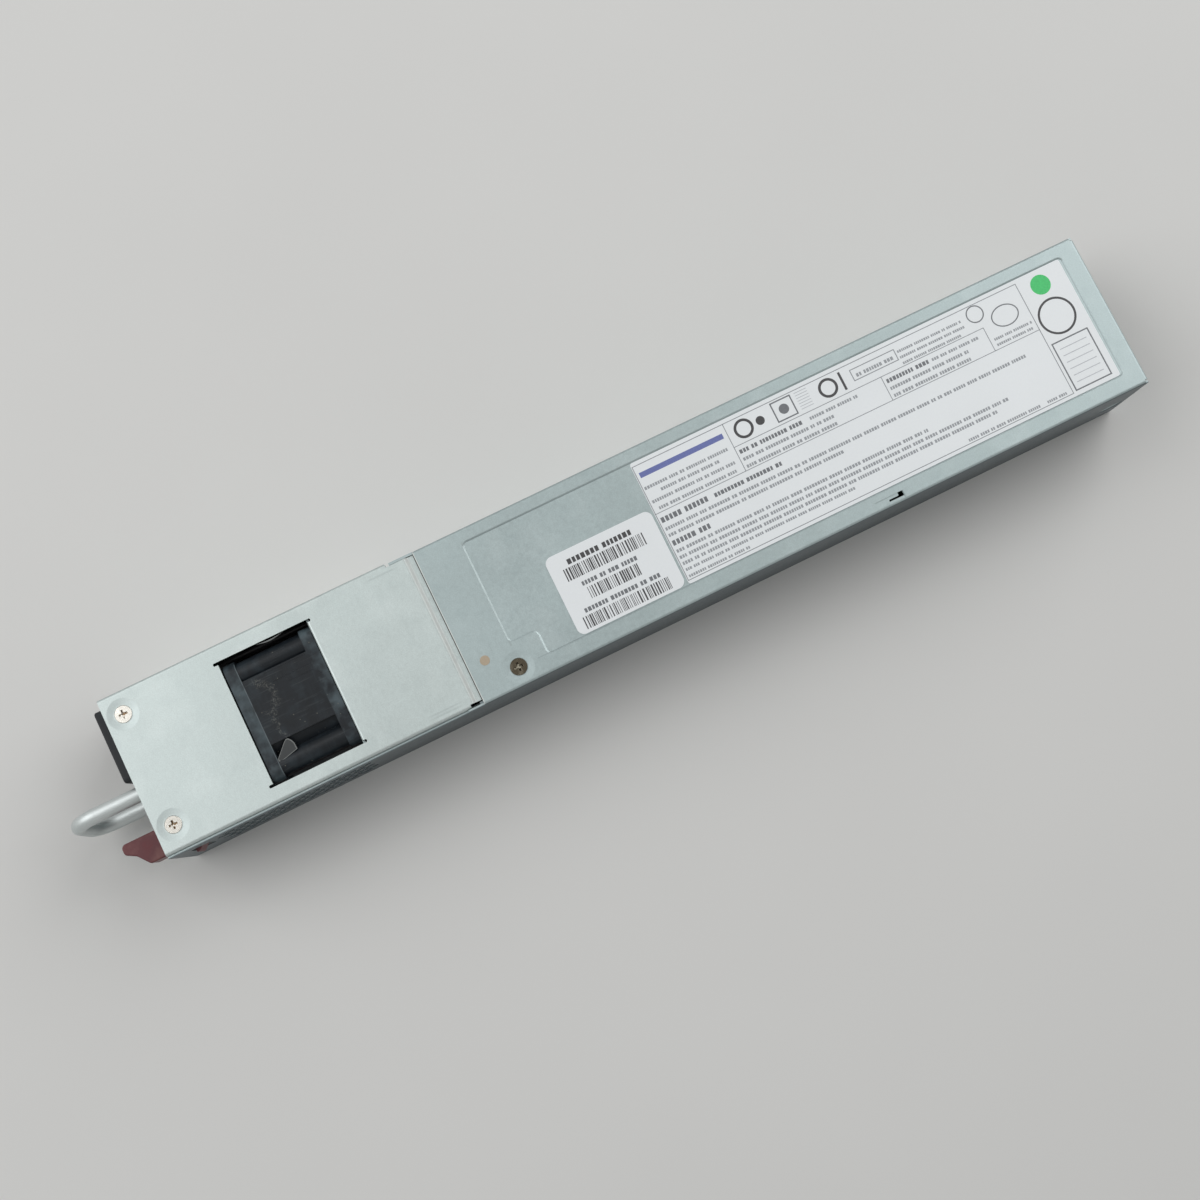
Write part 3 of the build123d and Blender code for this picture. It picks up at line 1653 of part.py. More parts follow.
transistor_count = 3
transistor_thickness = 5.0
transistor_pitch = primary_sink_length / transistor_count
transistor_width = transistor_pitch * 0.83
transistor_height = above_board * 0.64
transistor_lift = 4.4
transistor_lead_width = 1.2
transistor_lead_pitch = transistor_width * 0.34
transistor_lead_inset = 2.4
transistor_lead_thickness = 0.6
with BuildPart() as power_transistors:
    for index in range(transistor_count):
        y = primary_sink_y + (index + 0.5) * transistor_pitch
        block(
            (sink_x - transistor_thickness, sink_x),
            (y - transistor_width / 2, y + transistor_width / 2),
            (
                board_top + transistor_lift,
                board_top + transistor_lift + transistor_height,
            ),
        )
        for step in (-1, 0, 1):
            lead_y = y + step * transistor_lead_pitch
            block(
                (
                    sink_x - transistor_lead_inset - transistor_lead_thickness,
                    sink_x - transistor_lead_inset,
                ),
                (
                    lead_y - transistor_lead_width / 2,
                    lead_y + transistor_lead_width / 2,
                ),
                (board_top, board_top + transistor_lift),
            )
finish(power_transistors, "power_transistors")

bulk_top_gap = 2.85
bulk_edge = 1.2
bulk_radius = (above_board - bulk_top_gap) / 2
bulk_length = along_board * 0.18
bulk_x = -across_board * 0.27
bulk_y = board_front + along_board * 0.338
with BuildPart() as bulk_capacitor:
    with BuildSketch(facing_front(bulk_x, bulk_y, board_top + bulk_radius)):
        Circle(bulk_radius)
    extrude(amount=-bulk_length)
    fillet(bulk_capacitor.edges().filter_by(GeomType.CIRCLE), radius=bulk_edge)
finish(bulk_capacitor, "bulk_capacitor")


# Main converter
standby_x = -across_board * 0.69
standby_width = across_board * 0.49
standby_y = board_front + along_board * 0.53
standby_length = along_board * 0.056
standby_height = 14.0
standby_inset = 1.5
standby_lift = 2.0
with BuildPart() as standby_transformer:
    block(
        (standby_x - standby_width / 2, standby_x + standby_width / 2),
        (standby_y, standby_y + standby_length),
        (board_top, board_top + standby_height),
    )
    block(
        (
            standby_x - standby_width / 2 + standby_inset,
            standby_x + standby_width / 2 - standby_inset,
        ),
        (standby_y - standby_inset, standby_y + standby_length + standby_inset),
        (board_top + standby_lift, board_top + standby_height - standby_lift),
    )
finish(standby_transformer, "standby_transformer")

transformer_x = across_board * 0.2
transformer_y = board_front + along_board * 0.62
transformer_width = across_board * 1.14
transformer_length = along_board * 0.12
transformer_top_gap = 5.85
transformer_yoke = 4.0
transformer_side = 4.0
transformer_leg_radius = transformer_width * 0.196
core_top = board_top + above_board - transformer_top_gap
winding_radius = transformer_width / 2 - transformer_side
with BuildPart() as transformer_core:
    block(
        (transformer_x - transformer_width / 2, transformer_x + transformer_width / 2),
        (
            transformer_y - transformer_length / 2,
            transformer_y + transformer_length / 2,
        ),
        (board_top, core_top),
    )
    # the window that the winding fills, open at both ends
    block(
        (transformer_x - winding_radius, transformer_x + winding_radius),
        (transformer_y - transformer_length, transformer_y + transformer_length),
        (board_top + transformer_yoke, core_top - transformer_yoke),
        Mode.SUBTRACT,
    )
    with BuildSketch(Plane.XY.offset(board_top + transformer_yoke)):
        with Locations((transformer_x, transformer_y)):
            Circle(transformer_leg_radius)
    extrude(amount=core_top - board_top - 2 * transformer_yoke)
finish(transformer_core, "transformer_core")

with BuildPart() as transformer_winding:
    with BuildSketch(Plane.XY.offset(board_top + transformer_yoke)):
        with Locations((transformer_x, transformer_y)):
            Circle(winding_radius)
            Circle(transformer_leg_radius, mode=Mode.SUBTRACT)
    extrude(amount=core_top - board_top - 2 * transformer_yoke)
finish(transformer_winding, "transformer_winding")

card_thickness = 1.6
card_top_gap = 5.85
card_y = board_front + along_board * 0.511
card_length = along_board * 0.316
card_edge_gap = 0.6
card_x = across_board - card_edge_gap
chip_count = 4
chip_reach = 1.2
chip_lift = 8.0
chip_height = 9.0
with BuildPart() as control_board:
    block(
        (card_x - card_thickness, card_x),
        (card_y, card_y + card_length),
        (board_top, board_top + above_board - card_top_gap),
    )
    for index in range(chip_count):
        y = card_y + card_length * (index + 0.5) / chip_count
        block(
            (card_x - card_thickness - chip_reach, card_x - card_thickness),
            (y - chip_height / 2, y + chip_height / 2),
            (board_top + chip_lift, board_top + chip_lift + chip_height),
        )
finish(control_board, "control_board")

output_sink_y = board_front + along_board * 0.605
output_sink_length = along_board * 0.075
with BuildPart() as output_heatsink:
    finned_plate(
        (-sink_x - sink_plate, -sink_x),
        (output_sink_y, output_sink_y + output_sink_length),
        -1,
    )
finish(output_heatsink, "output_heatsink")

output_choke_x = -across_board * 0.55
output_choke_y = board_front + along_board * 0.728
output_choke_radius = across_board * 0.34
output_choke_hole_radius = across_board * 0.15
output_choke_height = 10.0
output_choke_edge = 1.5
with BuildPart() as output_choke:
    with BuildSketch(Plane.XY.offset(board_top)):
        with Locations((output_choke_x, output_choke_y)):
            Circle(output_choke_radius)
            Circle(output_choke_hole_radius, mode=Mode.SUBTRACT)
    extrude(amount=output_choke_height)
    fillet(
        output_choke.faces().sort_by(Axis.Z)[-1].edges(), radius=output_choke_edge
    )
finish(output_choke, "output_choke")

can_radius = 3.8
can_height = 18.0
can_edge = 0.6
can_rows = 2
can_columns = 4
can_pitch_x = across_board * 0.4
can_pitch_y = 8.2
can_y = board_front + along_board * 0.815
with BuildPart() as output_capacitors:
    with BuildSketch(Plane.XY.offset(board_top)):
        with Locations((0, can_y)):
            with GridLocations(can_pitch_x, can_pitch_y, can_columns, can_rows):
                Circle(can_radius)
    extrude(amount=can_height)
    fillet(output_capacitors.faces().group_by(Axis.Z)[-1].edges(), radius=can_edge)
finish(output_capacitors, "output_capacitors")


# Output connector: a shrouded receptacle with power blades and signal pins
with BuildPart() as connector_housing:
    block(
        (-connector_half_width, connector_half_width),
        (connector_front, connector_rear),
        (board_top, board_top + connector_height),
    )
    block(
        (-connector_recess_half_width, connector_recess_half_width),
        (connector_recess_floor, connector_rear),
        (
            board_top + connector_recess_low,
            board_top + connector_recess_low + connector_recess_height,
        ),
        Mode.SUBTRACT,
    )
    chamfer(
        connector_housing.faces().sort_by(Axis.Y)[-1].inner_wires()[0].edges(),
        length=connector_mouth_chamfer,
    )
    # slots for the contacts
    for x in blade_contact_x:
        block(
            (x - blade_contact_thickness / 2, x + blade_contact_thickness / 2),
            (connector_front, connector_recess_floor),
            (
                connector_recess_mid - blade_contact_height / 2,
                connector_recess_mid + blade_contact_height / 2,
            ),
            Mode.SUBTRACT,
        )
    with BuildSketch(facing_front(signal_x, connector_front, connector_recess_mid)):
        with Locations((signal_pin_pitch * (signal_pin_columns - 1) / 2, 0)):
            with GridLocations(
                signal_pin_pitch, signal_pin_pitch, signal_pin_columns, signal_pin_rows
            ):
                Rectangle(signal_pin_size, signal_pin_size)
    extrude(amount=connector_front - connector_recess_floor, mode=Mode.SUBTRACT)
finish(connector_housing, "connector_housing")

with BuildPart() as power_blades:
    for x in blade_contact_x:
        block(
            (x - blade_contact_thickness / 2, x + blade_contact_thickness / 2),
            (
                connector_front - blade_contact_tail,
                connector_recess_floor + blade_contact_length,
            ),
            (
                connector_recess_mid - blade_contact_height / 2,
                connector_recess_mid + blade_contact_height / 2,
            ),
        )
        block(
            (x - blade_contact_thickness / 2, x + blade_contact_thickness / 2),
            (
                connector_front - blade_contact_tail,
                connector_front - blade_tail_gap,
            ),
            (board_top, connector_recess_mid),
        )
finish(power_blades, "power_blades")

with BuildPart() as signal_pins:
    pin_start = connector_front - signal_pin_tail
    pin_run = connector_recess_floor + blade_contact_length - pin_start
    with BuildSketch(facing_front(signal_x, pin_start, connector_recess_mid)):
        with Locations((signal_pin_pitch * (signal_pin_columns - 1) / 2, 0)):
            with GridLocations(
                signal_pin_pitch, signal_pin_pitch, signal_pin_columns, signal_pin_rows
            ):
                Rectangle(signal_pin_size, signal_pin_size)
    extrude(amount=-pin_run)
finish(signal_pins, "signal_pins")


# Labels and the inspector's paint dot
with BuildPart() as rating_label:
    with BuildSketch(Plane.XY.offset(recess_floor)):
        with Locations(
            (
                (rating_label_left + rating_label_right) / 2,
                rating_label_rear - rating_label_length / 2,
            )
        ):
            RectangleRounded(
                rating_label_right - rating_label_left,
                rating_label_length,
                rating_label_corner,
            )
    extrude(amount=label_thickness)
finish(rating_label, "rating_label")

with BuildPart() as identity_label:
    with BuildSketch(Plane.XY.offset(recess_floor)):
        with Locations(
            (
                (id_label_left + id_label_right) / 2,
                id_label_rear - id_label_length / 2,
            )
        ):
            RectangleRounded(id_label_width, id_label_length, id_label_corner)
    extrude(amount=label_thickness)
finish(identity_label, "identity_label")

with BuildPart() as paint_dot:
    with BuildSketch(Plane.XY.offset(case_height)):
        with Locations((paint_dot_x, seam + paint_dot_from_seam)):
            Circle(paint_dot_radius)
    extrude(amount=label_thickness / 2)
finish(paint_dot, "paint_dot")
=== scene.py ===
import math
import random

import bmesh
import bpy
from mathutils import Matrix, Vector


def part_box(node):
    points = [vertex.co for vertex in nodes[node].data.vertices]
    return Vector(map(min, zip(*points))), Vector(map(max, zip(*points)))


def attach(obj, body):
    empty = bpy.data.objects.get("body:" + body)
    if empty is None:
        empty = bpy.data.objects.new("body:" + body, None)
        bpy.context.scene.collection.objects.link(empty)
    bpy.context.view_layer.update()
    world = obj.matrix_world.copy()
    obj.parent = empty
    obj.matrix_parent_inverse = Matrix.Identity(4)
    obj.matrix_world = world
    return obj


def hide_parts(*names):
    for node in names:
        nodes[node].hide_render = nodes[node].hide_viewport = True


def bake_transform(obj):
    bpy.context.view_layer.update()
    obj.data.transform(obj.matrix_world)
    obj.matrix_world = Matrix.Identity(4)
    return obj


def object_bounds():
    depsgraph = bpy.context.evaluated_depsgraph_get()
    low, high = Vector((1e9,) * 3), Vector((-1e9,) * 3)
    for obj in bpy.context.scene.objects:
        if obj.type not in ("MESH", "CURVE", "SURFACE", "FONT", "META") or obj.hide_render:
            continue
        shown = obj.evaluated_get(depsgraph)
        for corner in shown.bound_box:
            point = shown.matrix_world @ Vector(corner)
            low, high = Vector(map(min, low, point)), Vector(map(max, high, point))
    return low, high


# Hot swap server power supply: the dressed model.
# The frame is in metres; sizes here are written in millimetres and multiplied by MM.
# X runs across the case (latch at +X), Y along it (handle at -Y), Z points up.

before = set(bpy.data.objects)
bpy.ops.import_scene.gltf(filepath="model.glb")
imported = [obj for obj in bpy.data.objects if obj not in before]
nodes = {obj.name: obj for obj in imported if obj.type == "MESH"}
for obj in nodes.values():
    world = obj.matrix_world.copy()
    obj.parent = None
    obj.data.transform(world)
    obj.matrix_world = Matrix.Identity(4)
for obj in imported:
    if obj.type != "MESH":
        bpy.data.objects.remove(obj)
cad_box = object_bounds()

MM = 0.001
seam = -65.3  # where the front cover runs under the rear cover, along Y
lid_levels = (39.0, 41.0)  # the lid's top and the fan's web lie between these heights
fan_flanges = ((-135.4, -131.4), (-109.0, -105.0))  # from start to end, along Y
front_screws_x, front_screws_y = (-20.2, 18.2), -169.0
latch_side = (27.0, 28.0)  # the rear cover's side wall, along X
noise_low, noise_high = 0.3, 0.7  # most of a noise's values lie between these


# Colours
def srgb(red, green, blue):
    """A colour as it is seen on a screen, 0 to 255, as linear RGBA."""
    linear = []
    for value in (red, green, blue):
        share = value / 255
        if share <= 0.04045:
            linear.append(share / 12.92)
        else:
            linear.append(((share + 0.055) / 1.055) ** 2.4)
    return (*linear, 1.0)


# Materials
class Finish:
    """A material whose colour, roughness and relief come from procedural textures."""

    def __init__(self, name, colour, roughness, metallic=0.0, specular=0.5):
        self.material = bpy.data.materials.new(name)
        self.material.use_nodes = True
        self.tree = self.material.node_tree
        self.surface = self.tree.nodes["Principled BSDF"]
        self.surface.inputs["Metallic"].default_value = metallic
        self.surface.inputs["Specular IOR Level"].default_value = specular
        self.surface.inputs["Base Color"].default_value = colour
        self.surface.inputs["Roughness"].default_value = roughness
        self.place = self.add("ShaderNodeTexCoord").outputs["Object"]
        self.material.diffuse_color = colour

    def add(self, kind, **settings):
        node = self.tree.nodes.new(kind)
        for key, value in settings.items():
            setattr(node, key, value)
        return node

    def link(self, output, socket):
        self.tree.links.new(output, socket)

    def feed(self, value, socket):
        """Puts a socket's value or a constant into a socket."""
        if isinstance(value, bpy.types.NodeSocket):
            self.link(value, socket)
        else:
            socket.default_value = value

    def source(self, name):
        """What the surface's input holds now: the socket that feeds it, or its constant."""
        socket = self.surface.inputs[name]
        if socket.is_linked:
            return socket.links[0].from_socket
        value = socket.default_value
        return value if isinstance(value, float) else tuple(value)

    def spread(self, size, stretch, seed):
        """Coordinates in which one unit is size millimetres, moved by the seed."""
        mapping = self.add("ShaderNodeMapping")
        mapping.inputs["Scale"].default_value = [1 / (size * MM * s) for s in stretch]
        mapping.inputs["Location"].default_value = (seed, seed * 0.7, seed * 1.3)
        self.link(self.place, mapping.inputs["Vector"])
        return mapping.outputs["Vector"]

    def noise(self, size, detail=2.0, stretch=(1, 1, 1), seed=0.0):
        """Noise with features about size millimetres across, stretched along an axis."""
        noise = self.add("ShaderNodeTexNoise")
        noise.inputs["Scale"].default_value = 1.0
        noise.inputs["Detail"].default_value = detail
        noise.inputs["Roughness"].default_value = 0.5
        self.link(self.spread(size, stretch, seed), noise.inputs["Vector"])
        return noise.outputs["Fac"]

    def cells(self, size, seed):
        """The distance to the middle of Voronoi cells about size millimetres across."""
        cells = self.add("ShaderNodeTexVoronoi", feature="F1")
        cells.inputs["Scale"].default_value = 1.0
        self.link(self.spread(size, (1, 1, 1), seed), cells.inputs["Vector"])
        return cells.outputs["Distance"]

    def remap(self, value, low, high, to_low, to_high):
        node = self.add("ShaderNodeMapRange")
        self.feed(value, node.inputs["Value"])
        node.inputs["From Min"].default_value = low
        node.inputs["From Max"].default_value = high
        node.inputs["To Min"].default_value = to_low
        node.inputs["To Max"].default_value = to_high
        return node.outputs["Result"]

    def maths(self, operation, first, second):
        node = self.add("ShaderNodeMath", operation=operation)
        self.feed(first, node.inputs[0])
        self.feed(second, node.inputs[1])
        return node.outputs["Value"]

    def overlap(self, first, second):
        """1 where both masks are 1."""
        return self.maths("MULTIPLY", first, second)

    def axis(self, name):
        """One coordinate of the surface point, in metres."""
        split = self.add("ShaderNodeSeparateXYZ")
        self.link(self.place, split.inputs["Vector"])
        return split.outputs[name]

    def band(self, name, start, end, soft):
        """1 between start and end millimetres along an axis, fading over soft millimetres."""
        place = self.axis(name)
        rise = self.remap(place, (start - soft) * MM, (start + soft) * MM, 0, 1)
        fall = self.remap(place, (end - soft) * MM, (end + soft) * MM, 1, 0)
        return self.overlap(rise, fall)

    def arc(self, x, y, radius, width, soft, wander):
        """1 along a circle's line in plan, fading over soft; the line strays by wander."""
        sway = self.maths("SUBTRACT", self.noise(3.5, detail=2.0, seed=1.4), 0.5)
        stray = self.maths("MULTIPLY", sway, 4 * wander * MM)
        across = self.maths("SUBTRACT", self.maths("ADD", self.axis("X"), stray), x * MM)
        along = self.maths("SUBTRACT", self.maths("ADD", self.axis("Y"), stray), y * MM)
        squares = self.maths(
            "ADD",
            self.maths("MULTIPLY", across, across),
            self.maths("MULTIPLY", along, along),
        )
        distance = self.maths("SUBTRACT", self.maths("POWER", squares, 0.5), radius * MM)
        off = self.maths("ABSOLUTE", distance, 0.0)
        return self.remap(off, width / 2 * MM, (width / 2 + soft) * MM, 1, 0)

    def mix(self, mode, factor, first, second):
        """Mixes two colours: a Mix node takes colours at inputs 6 and 7, and gives output 2."""
        node = self.add("ShaderNodeMix", data_type="RGBA", blend_type=mode)
        self.feed(factor, node.inputs[0])
        self.feed(first, node.inputs[6])
        self.feed(second, node.inputs[7])
        return node.outputs[2]

    def shade(self, noise, dark, light):
        """Multiplies the colour by dark to light as the noise goes from low to high."""
        factor = self.remap(noise, noise_low, noise_high, dark, light)
        colour = self.mix("MULTIPLY", 1.0, self.source("Base Color"), factor)
        self.link(colour, self.surface.inputs["Base Color"])

    def tint(self, mask, colour, strength=1.0):
        """Turns the colour to another, by the share strength, where the mask is 1."""
        if strength < 1.0:
            mask = self.maths("MULTIPLY", mask, strength)
        mixed = self.mix("MIX", mask, self.source("Base Color"), colour)
        self.link(mixed, self.surface.inputs["Base Color"])

    def roughen(self, noise, change_low, change_high):
        """Adds change_low to change_high to the roughness as the noise goes from low to high."""
        change = self.remap(noise, noise_low, noise_high, change_low, change_high)
        total = self.maths("ADD", self.source("Roughness"), change)
        self.link(total, self.surface.inputs["Roughness"])

    def relief(self, value, depth, strength=1.0):
        """Bumps depth millimetres high, on top of any that are there."""
        bump = self.add("ShaderNodeBump")
        bump.inputs["Strength"].default_value = strength
        bump.inputs["Distance"].default_value = depth * MM
        self.link(value, bump.inputs["Height"])
        normal = self.surface.inputs["Normal"]
        if normal.is_linked:
            self.link(normal.links[0].from_socket, bump.inputs["Normal"])
        self.link(bump.outputs["Normal"], normal)

    def scratches(self, length, width, colour, seed, along):
        """Thin scratches along an axis, in a lighter or darker colour."""
        stretch = (1, length / width, 1) if along == "Y" else (length / width, 1, 1)
        lines = self.noise(width, detail=1.0, stretch=stretch, seed=seed)
        places = self.noise(length * 1.5, detail=1.0, seed=seed + 5)
        thin = self.remap(lines, 0.74, 0.78, 0, 1)
        where = self.remap(places, 0.5, 0.62, 0, 1)
        self.tint(self.overlap(thin, where), colour, 0.5)


def plated_steel(name, colour, light, dark, roughness=0.47):
    """Zinc plated sheet steel: satin, with a fine grain and soft clouds."""
    steel = Finish(name, colour, roughness, metallic=0.72)
    clouds = steel.noise(38, detail=3.0, seed=3.1)
    steel.shade(clouds, 0.955, 1.035)
    steel.tint(steel.remap(steel.noise(17, detail=2.0, seed=8.2), 0.52, 0.75, 0, 0.35), light)
    steel.tint(steel.remap(steel.noise(6, detail=2.0, seed=1.7), 0.55, 0.8, 0, 0.25), dark)
    mottle = steel.noise(1.3, detail=3.0, seed=2.4)
    steel.shade(mottle, 0.965, 1.035)
    grain = steel.noise(0.38, detail=2.0, seed=5.5)
    steel.shade(grain, 0.93, 1.06)
    steel.roughen(clouds, -0.03, 0.04)
    steel.roughen(mottle, -0.04, 0.04)
    steel.scratches(14, 0.12, light, seed=4.4, along="Y")
    steel.scratches(9, 0.10, dark, seed=9.4, along="X")
    steel.relief(steel.noise(26, detail=1.0, seed=6.6), 0.10, 0.5)
    steel.relief(grain, 0.012, 0.6)
    return steel


def moulded_plastic(name, colour, roughness, grain=0.35, depth=0.02, specular=0.5):
    """Moulded plastic with a fine spark finish."""
    plastic = Finish(name, colour, roughness, specular=specular)
    fine = plastic.noise(grain, detail=2.0, seed=2.2)
    broad = plastic.noise(9, detail=2.0, seed=7.7)
    plastic.shade(broad, 0.94, 1.06)
    plastic.shade(fine, 0.95, 1.05)
    plastic.roughen(broad, -0.05, 0.05)
    plastic.relief(fine, depth, 0.5)
    return plastic


def bright_metal(name, colour, roughness, light, streak=(1, 1, 1), metallic=0.9):
    """Turned, drawn or plated metal with faint streaks."""
    metal = Finish(name, colour, roughness, metallic=metallic)
    fine = metal.noise(0.25, detail=2.0, stretch=streak, seed=1.2)
    broad = metal.noise(3.0, detail=2.0, stretch=streak, seed=3.4)
    metal.shade(fine, 0.94, 1.05)
    metal.tint(metal.remap(broad, 0.5, 0.8, 0, 0.4), light)
    metal.roughen(fine, -0.05, 0.05)
    metal.relief(fine, 0.006, 0.5)
    return metal


def printed_paper(name, colour):
    """Coated label paper."""
    paper = Finish(name, colour, 0.42)
    fibres = paper.noise(0.5, detail=3.0, seed=4.1)
    broad = paper.noise(22, detail=2.0, seed=1.9)
    paper.shade(broad, 0.985, 1.01)
    paper.shade(fibres, 0.99, 1.01)
    paper.roughen(fibres, -0.04, 0.04)
    paper.relief(broad, 0.05, 0.4)
    paper.relief(fibres, 0.004, 0.5)
    return paper


def windings(name, colour, dark, pitch=0.9):
    """Enamelled wire, wound side by side."""
    wire = Finish(name, colour, 0.32, metallic=0.55)
    turns = wire.noise(pitch, detail=0.0, seed=2.0)
    wire.tint(wire.remap(turns, 0.5, 0.62, 0, 0.7), dark)
    wire.relief(turns, 0.3, 0.8)
    return wire


def ink(name, colour):
    """Printing ink, slightly uneven."""
    print_ink = Finish(name, colour, 0.5)
    print_ink.shade(print_ink.noise(0.6, detail=2.0, seed=3.0), 0.92, 1.08)
    return print_ink


def fan_moulding():
    """The fan's black plastic, dusty and rubbed on its flanges, with an old glue mark."""
    plastic = moulded_plastic(
        "fan_plastic", srgb(20, 25, 30), 0.42, grain=0.5, depth=0.02, specular=0.3
    )
    flange_dust = srgb(76, 88, 93)
    patches = plastic.noise(5.5, detail=3.0, seed=4.7)
    streaks = plastic.noise(1.1, detail=3.0, stretch=(5, 1, 1), seed=6.1)
    for start, end in fan_flanges:
        place = plastic.band("Y", start, end, 0.15)
        dusty = plastic.remap(patches, 0.36, 0.64, 0.0, 0.95)
        plastic.tint(plastic.overlap(place, dusty), flange_dust)
    level = plastic.band("Z", *lid_levels, 0.3)
    # a thin light line along the front flange's inner edge: painted highlight
    edge = plastic.overlap(plastic.band("Y", -131.6, -131.35, 0.06), level)
    plastic.tint(edge, srgb(104, 114, 118), 0.7)
    plastic.tint(plastic.remap(streaks, 0.55, 0.8, 0, 0.15), srgb(58, 68, 74))
    web_clouds = plastic.noise(4.5, detail=3.0, seed=7.3)
    plastic.tint(plastic.remap(web_clouds, 0.5, 0.75, 0, 0.5), srgb(46, 56, 62))
    plastic.tint(plastic.remap(web_clouds, 0.3, 0.45, 0.6, 0), srgb(13, 17, 20))
    rubbed = plastic.noise(0.5, detail=3.0, stretch=(1, 24, 1), seed=8.8)
    plastic.tint(plastic.remap(rubbed, 0.6, 0.75, 0, 0.35), srgb(70, 76, 78))
    # the glue mark is a wandering line of pale crumbs
    crumbs = plastic.remap(plastic.noise(0.5, detail=4.0, seed=9.9), 0.45, 0.7, 0, 0.42)
    hump = plastic.overlap(
        plastic.arc(-5.6, -128.6, 5.0, 0.3, 1.3, 1.3), plastic.band("Y", -128.6, -120.0, 1.2)
    )
    tail = plastic.overlap(
        plastic.arc(4.2, -121.0, 6.2, 0.2, 0.8, 1.3), plastic.band("Y", -129.0, -125.0, 0.8)
    )
    line = plastic.overlap(plastic.maths("MAXIMUM", hump, tail), level)
    plastic.tint(plastic.overlap(line, crumbs), srgb(132, 134, 128))
    specks = plastic.remap(plastic.cells(2.6, 2.5), 0.05, 0.09, 0.8, 0)
    plastic.tint(specks, srgb(96, 96, 88))
    return plastic


def latch_moulding():
    """The latch's maroon plastic, paler where fingers have rubbed it."""
    plastic = moulded_plastic("maroon_plastic", srgb(98, 50, 54), 0.45, specular=0.4)
    rubbed = plastic.noise(6, detail=3.0, seed=3.8)
    plastic.tint(plastic.remap(rubbed, 0.5, 0.74, 0, 0.5), srgb(142, 98, 92))
    plastic.tint(plastic.remap(rubbed, 0.25, 0.42, 0.5, 0), srgb(112, 42, 48))
    return plastic


def screw_plate(name, colour, light, recess, top):
    """A plated screw whose driver recess below its flat head is darkened as painted shade, with
    painted glints in it.
    """
    metal = bright_metal(name, colour, 0.26, light)
    # painted shade in the driver recess, and painted glints inside it
    depth = metal.band("Z", top - 1.6, top - 0.22, 0.1)
    metal.tint(depth, recess)
    painted_glints = metal.remap(metal.noise(0.9, detail=1.0, seed=2.9), 0.52, 0.6, 0, 0.9)
    metal.tint(metal.overlap(depth, painted_glints), light)
    return metal


pale_steel = plated_steel(
    "pale_plated_steel", srgb(190, 200, 199), srgb(208, 217, 216), srgb(172, 183, 183)
)
# the front cover: painted shade in the crease at the seam, painted shade on the step before it,
# painted shade for faint dents near its edges, and a painted shade ring in the dimples
pale_steel.tint(pale_steel.band("Y", seam - 0.3, seam + 0.1, 0.03), srgb(84, 84, 82))
# the joggle step's slope is darkened as painted shade
pale_steel.tint(pale_steel.band("Y", seam - 3.3, seam - 1.9, 0.4), srgb(158, 160, 158), 0.8)
# darker strips stand in for the shading of shallow dents: painted shade
for start, end in ((-25.0, -24.5), (22.9, 23.3), (24.0, 24.4)):
    dent_shade = pale_steel.overlap(
        pale_steel.band("X", start, end, 0.2), pale_steel.band("Y", seam - 17.0, seam - 7.0, 1.5)
    )
    pale_steel.tint(dent_shade, srgb(140, 152, 153), 0.28)
# a darker ring in each screw's dimple: painted shade
for screw_x in front_screws_x:
    dimple_shade = pale_steel.arc(screw_x, front_screws_y, 4.2, 1.6, 0.4, 0.0)
    pale_steel.tint(dimple_shade, srgb(172, 182, 182), 0.3)
blue_steel = plated_steel(
    "blue_plated_steel", srgb(168, 181, 182), srgb(188, 199, 200), srgb(148, 162, 164)
)
cover_steel = plated_steel(
    "cover_plated_steel", srgb(168, 181, 182), srgb(188, 199, 200), srgb(148, 162, 164)
)
# the rear cover: a painted highlight along its cut edge at the seam, and painted shade on its
# side wall
# a light line along the cut edge at the seam: painted highlight
seam_edge_highlight = cover_steel.overlap(
    cover_steel.band("Y", seam, seam + 0.25, 0.04), cover_steel.band("Z", *lid_levels, 0.1)
)
cover_steel.tint(seam_edge_highlight, srgb(216, 218, 214), 0.7)
# the side wall is darkened as painted shade
cover_steel.tint(cover_steel.band("X", *latch_side, 0.12), srgb(94, 103, 107))
# the recess: painted shade on its front wall, and a thin line of painted shade along the foot of
# its other walls
front_wall_shade, foot_shade = srgb(150, 160, 160), srgb(112, 122, 126)
recess_shading = (
    (-23.0, 14.0, -50.05, -49.4, 0.5, front_wall_shade),
    (-22.0, 20.8, 168.15, 168.45, 0.4, foot_shade),
    (-22.65, -22.4, -48.0, 167.5, 0.35, foot_shade),
    (21.1, 21.35, -44.0, 167.5, 0.35, foot_shade),
)
for x0, x1, y0, y1, strength, colour in recess_shading:
    shade_mark = cover_steel.overlap(
        cover_steel.band("X", x0, x1, 0.08), cover_steel.band("Y", y0, y1, 0.08)
    )
    cover_steel.tint(shade_mark, colour, strength)
# a darker copy of the plated steel for the base tray's walls: painted shade
shaded_wall_steel = plated_steel(
    "shaded_plated_steel", srgb(128, 138, 142), srgb(150, 160, 164), srgb(104, 114, 119)
)
nickel = bright_metal("nickel_plate", srgb(196, 188, 172), 0.26, srgb(226, 218, 200))
head_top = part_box("front_cover_screws")[1].z / MM
bright_head = screw_plate(
    "bright_screw", srgb(204, 201, 194), srgb(236, 233, 226), srgb(128, 108, 86), head_top
)
dark_head = screw_plate(
    "dark_screw", srgb(100, 92, 78), srgb(196, 190, 172), srgb(52, 46, 34), head_top
)
fan_plastic = fan_moulding()
maroon_plastic = latch_moulding()
film = moulded_plastic("grey_film", srgb(54, 57, 58), 0.34, depth=0.01, specular=0.4)
